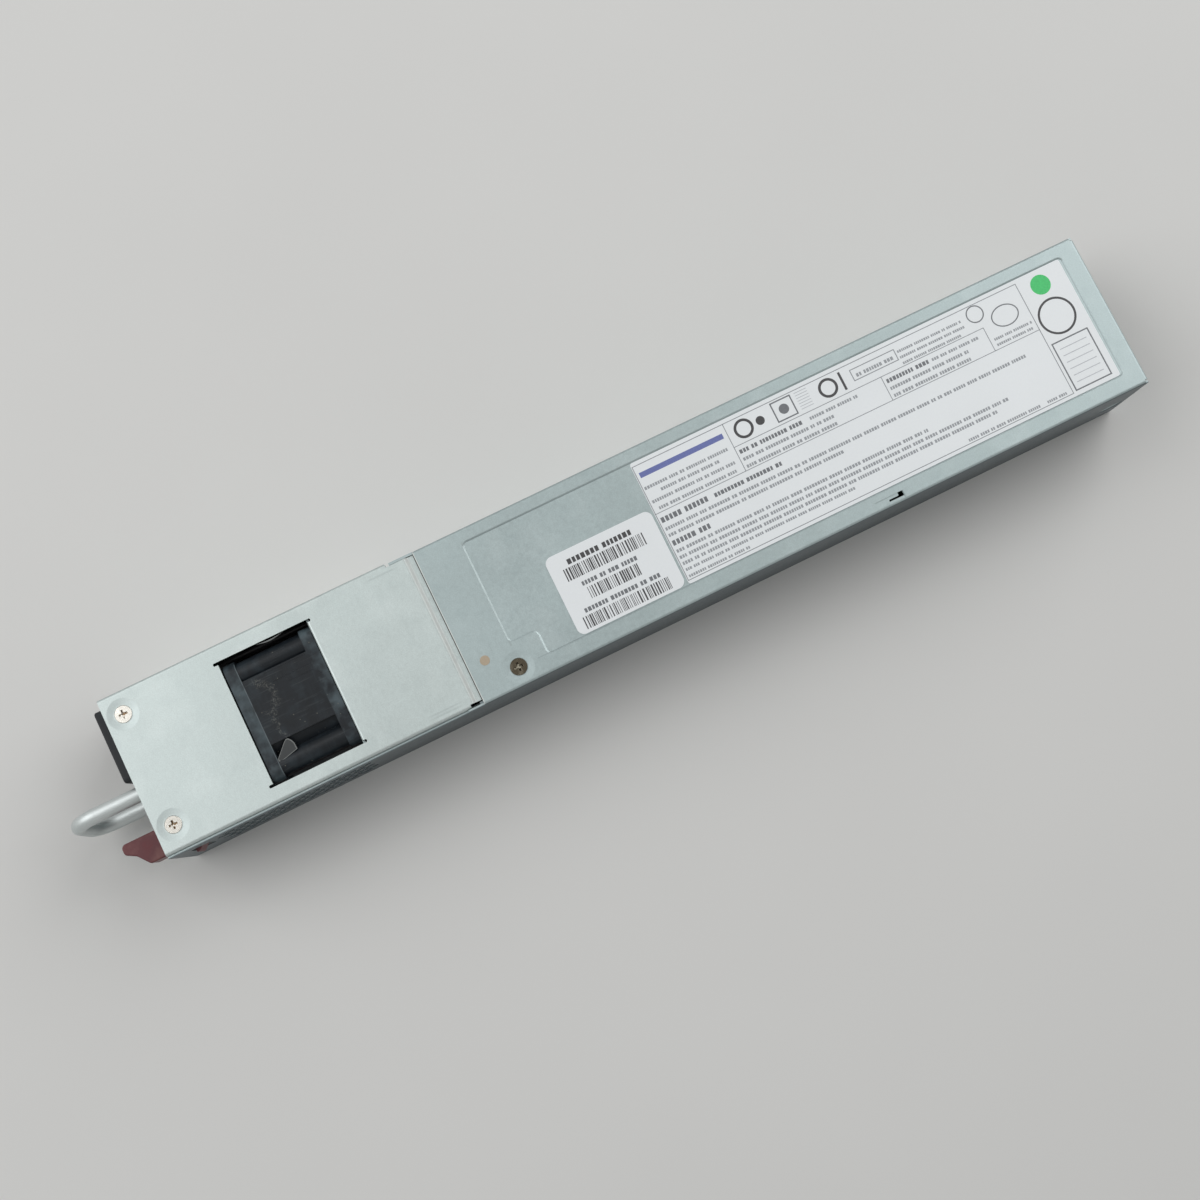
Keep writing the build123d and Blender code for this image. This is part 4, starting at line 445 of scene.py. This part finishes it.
# the film's pale edge colour is a painted highlight
film_edge_highlight = moulded_plastic("pale_film_highlight", srgb(104, 107, 106), 0.4, depth=0.01)
rod_metal = bright_metal(
    "drawn_aluminium", srgb(200, 206, 206), 0.5, srgb(214, 218, 218), (1, 14, 1), 0.8
)
sink_metal = bright_metal("extruded_aluminium", srgb(178, 181, 184), 0.42, srgb(200, 202, 205))
contact_metal = bright_metal("plated_contact", srgb(196, 168, 96), 0.24, srgb(228, 204, 140))
black_plastic = moulded_plastic("black_plastic", srgb(38, 42, 45), 0.42)
grey_plastic = moulded_plastic(
    "dark_grey_plastic", srgb(48, 50, 53), 0.62, grain=0.5, depth=0.05, specular=0.3
)
lens_plastic = moulded_plastic("green_lens", srgb(96, 168, 104), 0.2, depth=0.005)
device_epoxy = moulded_plastic("device_epoxy", srgb(40, 40, 42), 0.5)
ferrite = moulded_plastic("ferrite", srgb(64, 62, 62), 0.62, grain=0.8)
capacitor_box = moulded_plastic("capacitor_box", srgb(190, 168, 92), 0.4)
capacitor_sleeve = moulded_plastic("capacitor_sleeve", srgb(44, 48, 64), 0.3, depth=0.005)
ceramic_blue = moulded_plastic("ceramic_blue", srgb(62, 104, 156), 0.35)
fuse_body = moulded_plastic("fuse_body", srgb(196, 190, 176), 0.4)
board_green = moulded_plastic("board_green", srgb(40, 92, 62), 0.38, grain=1.2)
insulator = moulded_plastic("insulating_sheet", srgb(214, 208, 186), 0.45)
stator_iron = moulded_plastic("stator_iron", srgb(92, 92, 94), 0.45)
magnet = moulded_plastic("magnet", srgb(52, 50, 50), 0.5)
lead_black = moulded_plastic("lead_black", srgb(36, 36, 38), 0.4)
lead_red = moulded_plastic("lead_red", srgb(104, 32, 30), 0.4)
copper = windings("copper_winding", srgb(176, 104, 58), srgb(104, 54, 26))
tape = moulded_plastic("yellow_tape", srgb(204, 172, 60), 0.35)
label_paper = printed_paper("label_paper", srgb(231, 235, 237))
tan_paint = moulded_plastic("tan_paint", srgb(176, 161, 140), 0.5, depth=0.01)
rule_ink = ink("rule_ink", srgb(142, 146, 150))
small_ink = ink("small_ink", srgb(152, 156, 160))
heading_ink = ink("heading_ink", srgb(112, 115, 119))
dark_ink = ink("dark_ink", srgb(66, 66, 68))
light_ink = ink("light_ink", srgb(186, 190, 194))
blue_ink = ink("blue_ink", srgb(104, 114, 170))
green_ink = ink("green_ink", srgb(70, 196, 112))

finishes = {
    "front_cover": pale_steel,
    "rear_cover": cover_steel,
    "base_tray": shaded_wall_steel,
    "front_panel": blue_steel,
    "rear_panel": blue_steel,
    "fan_bulkhead": blue_steel,
    "latch_bracket": blue_steel,
    "front_cover_screws": bright_head,
    "rear_cover_screw": dark_head,
    "side_screws": nickel,
    "clinch_nuts": nickel,
    "handle_screws": nickel,
    "latch_pin": nickel,
    "latch_spring": nickel,
    "fan_screws": nickel,
    "fan_shaft": nickel,
    "fan_bearings": nickel,
    "board_standoffs": nickel,
    "board_screws": nickel,
    "inlet_pins": nickel,
    "power_blades": contact_metal,
    "signal_pins": contact_metal,
    "pull_handle": rod_metal,
    "primary_heatsink": sink_metal,
    "output_heatsink": sink_metal,
    "inlet_housing": grey_plastic,
    "inlet_leads": lead_black,
    "light_lead": lead_red,
    "fan_lead": lead_black,
    "latch_lever": maroon_plastic,
    "light_lens": lens_plastic,
    "light_board": board_green,
    "main_board": board_green,
    "control_board": board_green,
    "insulating_sheet": insulator,
    "fan_frame": fan_plastic,
    "fan_impeller": black_plastic,
    "rotor_magnet": magnet,
    "fan_stator": stator_iron,
    "line_fuse": fuse_body,
    "line_choke": ferrite,
    "filter_capacitors": capacitor_box,
    "disc_capacitors": ceramic_blue,
    "inrush_relay": device_epoxy,
    "bridge_rectifier": device_epoxy,
    "boost_choke_core": ferrite,
    "boost_choke_winding": copper,
    "power_transistors": device_epoxy,
    "bulk_capacitor": capacitor_sleeve,
    "transformer_core": ferrite,
    "transformer_winding": tape,
    "standby_transformer": tape,
    "output_choke": ferrite,
    "output_capacitors": capacitor_sleeve,
    "connector_housing": black_plastic,
    "rating_label": label_paper,
    "identity_label": label_paper,
    "paint_dot": tan_paint,
}
for name, finish in finishes.items():
    nodes[name].data.materials.clear()
    nodes[name].data.materials.append(finish.material)


# Soft edges on the moulded pieces and the small sheet parts
def soften(name, width, segments=2, angle=32):
    """Rounds a node's edges by width millimetres and smooths the shading across them."""
    piece = nodes[name]
    weld = piece.modifiers.new("weld", "WELD")
    weld.merge_threshold = 0.002 * MM
    flat = piece.modifiers.new("flat", "DECIMATE")
    flat.decimate_type = "DISSOLVE"
    flat.angle_limit = math.radians(0.3)
    bevel = piece.modifiers.new("bevel", "BEVEL")
    bevel.width = width * MM
    bevel.segments = segments
    bevel.limit_method = "ANGLE"
    bevel.angle_limit = math.radians(angle)
    bevel.harden_normals = False
    normals = piece.modifiers.new("normals", "WEIGHTED_NORMAL")
    normals.keep_sharp = False


edge_widths = {
    "base_tray": 0.1,
    "front_panel": 0.1,
    "rear_panel": 0.1,
    "inlet_housing": 0.3,
    "latch_lever": 0.5,
    "fan_frame": 0.25,
    "connector_housing": 0.25,
    "front_cover_screws": 0.08,
    "rear_cover_screw": 0.08,
    "side_screws": 0.08,
}
for name, width in edge_widths.items():
    soften(name, width)


# Pieces made here
def new_piece(name, points, faces, material):
    """A mesh piece in the scene, from its points in metres and its faces."""
    mesh = bpy.data.meshes.new(name)
    mesh.from_pydata(points, [], faces)
    mesh.update()
    mesh.materials.append(material)
    piece = bpy.data.objects.new(name, mesh)
    bpy.context.scene.collection.objects.link(piece)
    return piece


def side_walls(count):
    """The side faces of a prism whose upper outline follows its lower one in the points."""
    walls = []
    for i in range(count):
        j = (i + 1) % count
        walls.append([i, j, count + j, count + i])
    return walls


# The latch's leaf spring
def leaf_spring(strip, steps):
    """The spring as a bent strip in short steps.

    The strip is as thick as strip.
    """
    low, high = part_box("latch_spring")
    rows = [((high.x, high.y), (high.x, high.y - strip))]
    for step in range(steps + 1):
        share = step / steps
        across = share * (high.x - low.x - strip)
        back = (low.x + across, high.y + share * (low.y - high.y))
        face = (low.x + strip + across, high.y - strip + share * (low.y - high.y + strip))
        rows.append((back, face))
    points, faces = [], []
    for back, face in rows:
        points += [(*back, low.z), (*face, low.z), (*face, high.z), (*back, high.z)]
    last = len(points) - 4
    for start in range(0, last, 4):
        faces += [[start + i for i in wall] for wall in side_walls(4)]
    faces += [[3, 2, 1, 0], [last, last + 1, last + 2, last + 3]]
    piece = new_piece("leaf_spring", points, faces, nickel.material)
    outward = bmesh.new()
    outward.from_mesh(piece.data)
    bmesh.ops.recalc_face_normals(outward, faces=outward.faces)
    outward.to_mesh(piece.data)
    outward.free()
    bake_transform(piece)
    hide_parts("latch_spring")


leaf_spring(0.4 * MM, 16)


# Print on the labels: rows of plain blocks, bars, and plain shapes
label_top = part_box("rating_label")[1].z / MM
ink_sink, ink_height = 0.005, 0.015
shuffle = random.Random(11)


def print_piece(name, outlines, finish):
    """A mesh of thin slabs lying on the labels, from their outlines in millimetres."""
    points, faces = [], []
    for outline in outlines:
        start, count = len(points), len(outline)
        for z in (label_top - ink_sink, label_top + ink_height):
            points += [(x * MM, y * MM, z * MM) for x, y in outline]
        faces.append([start + count + i for i in range(count)])
        faces += [[start + i for i in wall] for wall in side_walls(count)]
    piece = new_piece(name, points, faces, finish.material)
    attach(piece, "case")


def bar(y0, y1, x0, x1):
    """A rectangle, wound so that it faces up."""
    return [(x0, y0), (x1, y0), (x1, y1), (x0, y1)]


def frame_lines(y0, y1, x0, x1, width):
    """A rectangle's outline, as four bars."""
    half = width / 2
    return [
        bar(y0 - half, y1 + half, x0 - half, x0 + half),
        bar(y0 - half, y1 + half, x1 - half, x1 + half),
        bar(y0 - half, y0 + half, x0 + half, x1 - half),
        bar(y1 - half, y1 + half, x0 + half, x1 - half),
    ]


def ring(y, x, radius_y, radius_x, width, count=48):
    """A closed band, as one quadrilateral for each step."""
    shapes = []
    for index in range(count):
        angles = [2 * math.pi * (index + step) / count for step in (0, 1)]
        outer = [(x + radius_x * math.cos(a), y + radius_y * math.sin(a)) for a in angles]
        inner = [
            (x + (radius_x - width) * math.cos(a), y + (radius_y - width) * math.sin(a))
            for a in angles
        ]
        shapes.append([outer[0], outer[1], inner[1], inner[0]])
    return shapes


def disc(y, x, radius, count=40):
    """A filled circle, as one outline."""
    steps = [2 * math.pi * index / count for index in range(count)]
    return [[(x + radius * math.cos(a), y + radius * math.sin(a)) for a in steps]]


def print_row(y0, y1, x, height):
    """Small blocks on one line, in groups, from y0 to y1; the line's top is towards -X."""
    shapes = []
    y = y0
    foot = x + height / 2
    while y < y1:
        for _ in range(shuffle.randint(2, 9)):
            wide = height * shuffle.uniform(0.28, 0.46)
            if y + wide > y1:
                return shapes
            shapes.append(bar(y, y + wide, foot - height * 0.6, foot))
            y += wide + height * 0.14
        y += height * 0.35
    return shapes


def stripes(y0, y1, x0, x1):
    """Upright bars of uneven width."""
    shapes = []
    y = y0
    while y < y1:
        wide = shuffle.choice((0.2, 0.2, 0.38, 0.55))
        if y + wide > y1:
            break
        shapes.append(bar(y, y + wide, x0, x1))
        y += wide + shuffle.choice((0.26, 0.26, 0.44, 0.62))
    return shapes


def rules(y0, y1, x0, x1, count, width):
    """Parallel thin lines that fill a box."""
    step = (x1 - x0) / (count - 1)
    return [
        bar(y0, y1, x0 + index * step - width / 2, x0 + index * step + width / 2)
        for index in range(count)
    ]


ruled = frame_lines(10.3, 150.7, -21.0, 19.9, 0.26)
ruled += [
    bar(42.8, 43.04, -21.0, -3.9),
    bar(43.0, 134.4, -12.6, -12.36),
    bar(10.3, 150.7, -4.0, -3.76),
    bar(96.4, 96.64, -12.5, -3.9),
    bar(134.2, 134.44, -12.5, -3.9),
]
ruled += frame_lines(88.3, 104.4, -18.9, -15.1, 0.3)
print_piece("label_rules", ruled, rule_ink)

# each row: start and end along Y, place along X, height
small_rows = [
    (10.9, 42.0, -13.3, 1.7),
    (15.6, 37.0, -10.9, 1.7),
    (11.2, 41.4, -8.3, 1.7),
    (12.3, 40.6, -5.6, 1.7),
    (69.4, 87.0, -10.6, 1.7),
    (43.9, 76.8, -8.0, 1.8),
    (43.9, 76.8, -5.4, 1.8),
    (89.6, 103.2, -16.9, 2.0),
    (114.2, 131.5, -10.6, 1.6),
    (97.6, 127.0, -8.0, 1.8),
    (97.6, 127.0, -5.4, 1.8),
    (105.2, 128.6, -17.9, 1.4),
    (105.2, 129.2, -15.8, 1.4),
    (105.2, 126.6, -13.7, 1.4),
    (135.8, 149.8, -7.6, 1.4),
    (135.8, 149.6, -5.6, 1.4),
    (11.1, 143.2, 1.5, 1.8),
    (11.1, 75.4, 3.8, 1.8),
    (11.1, 102.4, 9.5, 1.8),
    (11.1, 130.6, 11.75, 1.8),
    (11.1, 126.2, 13.95, 1.8),
    (11.1, 72.2, 16.2, 1.5),
    (11.1, 33.6, 18.5, 1.5),
    (112.6, 139.2, 18.5, 1.6),
    (141.6, 149.4, 18.5, 1.5),
]
large_rows = [
    (43.9, 67.6, -10.8, 2.3),
    (97.6, 113.0, -10.8, 2.3),
    (11.1, 28.8, -1.9, 3.0),
    (30.2, 54.6, -1.6, 2.3),
    (11.1, 25.6, 6.4, 2.9),
]
small_shapes, large_shapes = [], []
for row in small_rows:
    small_shapes += print_row(*row)
for row in large_rows:
    large_shapes += print_row(*row)
print_piece("label_small_rows", small_shapes, small_ink)
print_piece("label_headings", large_shapes, heading_ink)

# a band, rings, discs and frames
print_piece("label_band", [bar(11.4, 41.4, -18.4, -16.6)], blue_ink)
dark_marks = ring(158.2, -5.6, 6.4, 6.4, 0.75)
dark_marks += ring(48.6, -16.8, 3.3, 3.3, 0.9)
dark_marks += disc(54.6, -16.8, 1.5)
dark_marks += ring(79.4, -16.8, 3.3, 3.3, 0.9)
dark_marks += [bar(84.2, 85.0, -20.0, -13.6)]
print_piece("label_dark_marks", dark_marks, dark_ink)
print_piece("label_disc", disc(158.2, -17.2, 3.4), green_ink)
plain_marks = ring(134.0, -17.8, 3.0, 3.0, 0.4)
plain_marks += ring(142.8, -13.2, 4.8, 3.7, 0.4)
plain_marks += frame_lines(59.8, 66.8, -20.2, -13.6, 0.45)
plain_marks += disc(63.3, -16.9, 1.7)
plain_marks += frame_lines(152.0, 165.0, 2.4, 19.4, 0.45)
print_piece("label_marks", plain_marks, heading_ink)
faint_marks = rules(68.4, 72.8, -20.0, -14.2, 7, 0.22)
faint_marks += rules(153.6, 163.4, 5.0, 17.0, 6, 0.3)
print_piece("label_faint_marks", faint_marks, light_ink)

identity_shapes = print_row(-22.0, 1.2, -3.0, 3.0)
for span in ((-24.4, 3.9, -0.7, 3.5), (-19.9, -2.0, 7.6, 11.6), (-25.5, 5.1, 15.8, 19.9)):
    identity_shapes += stripes(*span)
print_piece("identity_print", identity_shapes, dark_ink)
identity_rows = print_row(-20.8, -0.4, 5.5, 2.4) + print_row(-23.8, 3.2, 13.7, 2.4)
print_piece("identity_rows", identity_rows, heading_ink)


# Fan details in the window
fan_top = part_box("fan_frame")[1].z / MM


def plate(name, outline, underside, thickness, finish, edge):
    """A flat plate with rounded edges, from its outline in plan."""
    count = len(outline)
    points = []
    for z in (underside, underside + thickness):
        points += [(x * MM, y * MM, z * MM) for x, y in outline]
    faces = [list(range(count))[::-1], [count + i for i in range(count)]]
    faces += side_walls(count)
    piece = new_piece(name, points, faces, finish.material)
    bevel = piece.modifiers.new("bevel", "BEVEL")
    bevel.width = edge * MM
    bevel.segments = 2
    bevel.limit_method = "ANGLE"
    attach(piece, "case")


ridge_width, ridge_end = 0.35, -109.4
for index, (x, start) in enumerate(((-12.7, -124.2), (-9.2, -123.4), (-7.2, -118.0))):
    outline = [
        (x, start),
        (x + ridge_width, start + 0.3),
        (x + ridge_width, ridge_end),
        (x, ridge_end),
    ]
    plate(f"fan_ridge_{index}", outline, fan_top - 0.05, 0.12, fan_plastic, 0.04)

film_outline = [
    (14.3, -131.5),
    (9.9, -127.2),
    (9.3, -126.4),
    (9.4, -125.7),
    (10.3, -124.9),
    (11.6, -124.4),
    (13.7, -124.3),
    (15.4, -131.2),
]
film_middle, film_share = (12.2, -127.2), 0.88
inset_outline = [
    tuple(middle + film_share * (value - middle) for value, middle in zip(point, film_middle))
    for point in film_outline
]
# the pale rim under the tab is a painted highlight along the film's edge
plate("fan_film_edge_highlight", film_outline, fan_top - 0.37, 0.16, film_edge_highlight, 0.05)
plate("fan_film_tab", inset_outline, fan_top - 0.3, 0.13, film, 0.05)

# a sliver of film that bulges into the slit on the inlet side, in the film's pale edge colour, a
# painted highlight
sliver_start, sliver_end, sliver_x, sliver_steps = -123.2, -112.6, -21.95, 14
sliver_outline = []
for bulge, order in ((0.35, 1), (0.8, -1)):
    for step in range(0, sliver_steps + 1)[::order]:
        share = step / sliver_steps
        y = sliver_start + (sliver_end - sliver_start) * share
        sliver_outline.append((sliver_x + bulge * math.sin(math.pi * share) ** 1.5, y))
plate("slit_film", sliver_outline[1:-1], fan_top - 0.25, 0.12, film_edge_highlight, 0.03)


# Stage: a plain pale floor, in metres
floor_reach = 3.0
floor_z = cad_box[0].z - 0.1 * MM
fade_start, fade_end = 0.4, 1.3
underside_gap = 0.6 * MM
backdrop_colour = srgb(190, 190, 188)
floor_finish = Finish("floor_paper", srgb(214, 214, 212), 0.9, specular=0.1)
floor_finish.shade(floor_finish.noise(120, detail=2.0), 0.99, 1.01)


def fade_floor(finish):
    """The floor runs into the backdrop's colour far from the object, and is clear from below.

    Rays that leave the object's underside pass it too, so that the underside is lit.
    """
    tree = finish.tree
    rays = tree.nodes.new("ShaderNodeLightPath")
    seen = finish.maths("ADD", rays.outputs["Is Camera Ray"], rays.outputs["Is Glossy Ray"])
    seen = finish.maths("ADD", seen, rays.outputs["Is Transmission Ray"])
    across, along = finish.axis("X"), finish.axis("Y")
    squares = finish.maths(
        "ADD", finish.maths("MULTIPLY", across, across), finish.maths("MULTIPLY", along, along)
    )
    distance = finish.maths("POWER", squares, 0.5)
    fade = finish.overlap(finish.remap(distance, fade_start, fade_end, 0, 1), seen)
    glow = tree.nodes.new("ShaderNodeEmission")
    glow.inputs["Color"].default_value = backdrop_colour
    glow.inputs["Strength"].default_value = 1.0
    blend = tree.nodes.new("ShaderNodeMixShader")
    finish.link(fade, blend.inputs[0])
    finish.link(finish.surface.outputs[0], blend.inputs[1])
    finish.link(glow.outputs[0], blend.inputs[2])
    clear = tree.nodes.new("ShaderNodeBsdfTransparent")
    side = tree.nodes.new("ShaderNodeNewGeometry")
    from_below = tree.nodes.new("ShaderNodeMixShader")
    close = finish.maths("LESS_THAN", rays.outputs["Ray Length"], underside_gap)
    passed = finish.maths("MAXIMUM", side.outputs["Backfacing"], close)
    finish.link(passed, from_below.inputs[0])
    finish.link(blend.outputs[0], from_below.inputs[1])
    finish.link(clear.outputs[0], from_below.inputs[2])
    finish.link(from_below.outputs[0], tree.nodes["Material Output"].inputs["Surface"])


fade_floor(floor_finish)
floor_corners = [
    (x * floor_reach, y * floor_reach, floor_z) for x, y in ((-1, -1), (1, -1), (1, 1), (-1, 1))
]
floor = new_piece("floor", floor_corners, [(0, 1, 2, 3)], floor_finish.material)


# Light
def area_light(name, place, target, power):
    """A large soft white lamp at a place in metres, turned to its target."""
    data = bpy.data.lights.new(name, "AREA")
    data.shape = "SQUARE"
    data.size = lamp_size
    data.energy = power
    light = bpy.data.objects.new(name, data)
    light.location = place
    direction = Vector(target) - Vector(place)
    light.rotation_euler = direction.to_track_quat("-Z", "Y").to_euler()
    bpy.context.scene.collection.objects.link(light)


lamp_size = 1.3
area_light("front_key", (-0.5, -0.9, 1.05), (0, -0.05, 0.02), 11.2)
area_light("rear_key", (-0.4, 1.05, 0.95), (0, 0.05, 0.02), 11.2)

# Soft light from all around; camera, glossy and transmission rays see the backdrop instead
world = bpy.data.worlds.new("studio")
bpy.context.scene.world = world
world.use_nodes = True
tree = world.node_tree
soft_light = tree.nodes["Background"]
soft_light.inputs["Color"].default_value = (1.0, 1.0, 1.0, 1.0)
soft_light.inputs["Strength"].default_value = 0.28
backdrop = tree.nodes.new("ShaderNodeBackground")
backdrop.inputs["Color"].default_value = backdrop_colour
backdrop.inputs["Strength"].default_value = 1.0
rays = tree.nodes.new("ShaderNodeLightPath")
choice = tree.nodes.new("ShaderNodeMixShader")
seen_rays = rays.outputs["Is Camera Ray"]
for kind in ("Is Glossy Ray", "Is Transmission Ray"):
    total = tree.nodes.new("ShaderNodeMath")
    total.use_clamp = True
    tree.links.new(seen_rays, total.inputs[0])
    tree.links.new(rays.outputs[kind], total.inputs[1])
    seen_rays = total.outputs[0]
tree.links.new(seen_rays, choice.inputs[0])
tree.links.new(soft_light.outputs[0], choice.inputs[1])
tree.links.new(backdrop.outputs[0], choice.inputs[2])
tree.links.new(choice.outputs[0], tree.nodes["World Output"].inputs["Surface"])

# Camera, at the photograph's place
camera_data = bpy.data.cameras.new("camera")
camera_data.sensor_width = 36.0
camera_data.lens = 48.49
camera = bpy.data.objects.new("camera", camera_data)
camera_right = Vector((0.44005, 0.89789, 0.01236))
camera_down = Vector((0.8912, -0.43501, -0.12857))
camera_ahead = Vector((-0.11006, 0.06759, -0.99162))
turn = Matrix((camera_right, -camera_down, -camera_ahead)).transposed().to_4x4()
camera.matrix_world = Matrix.Translation(Vector((69.94, -52.82, 551.8)) * MM) @ turn
camera_data.clip_start = 0.01
bpy.context.scene.collection.objects.link(camera)
bpy.context.scene.camera = camera

view = bpy.context.scene.view_settings
view.view_transform = "Standard"
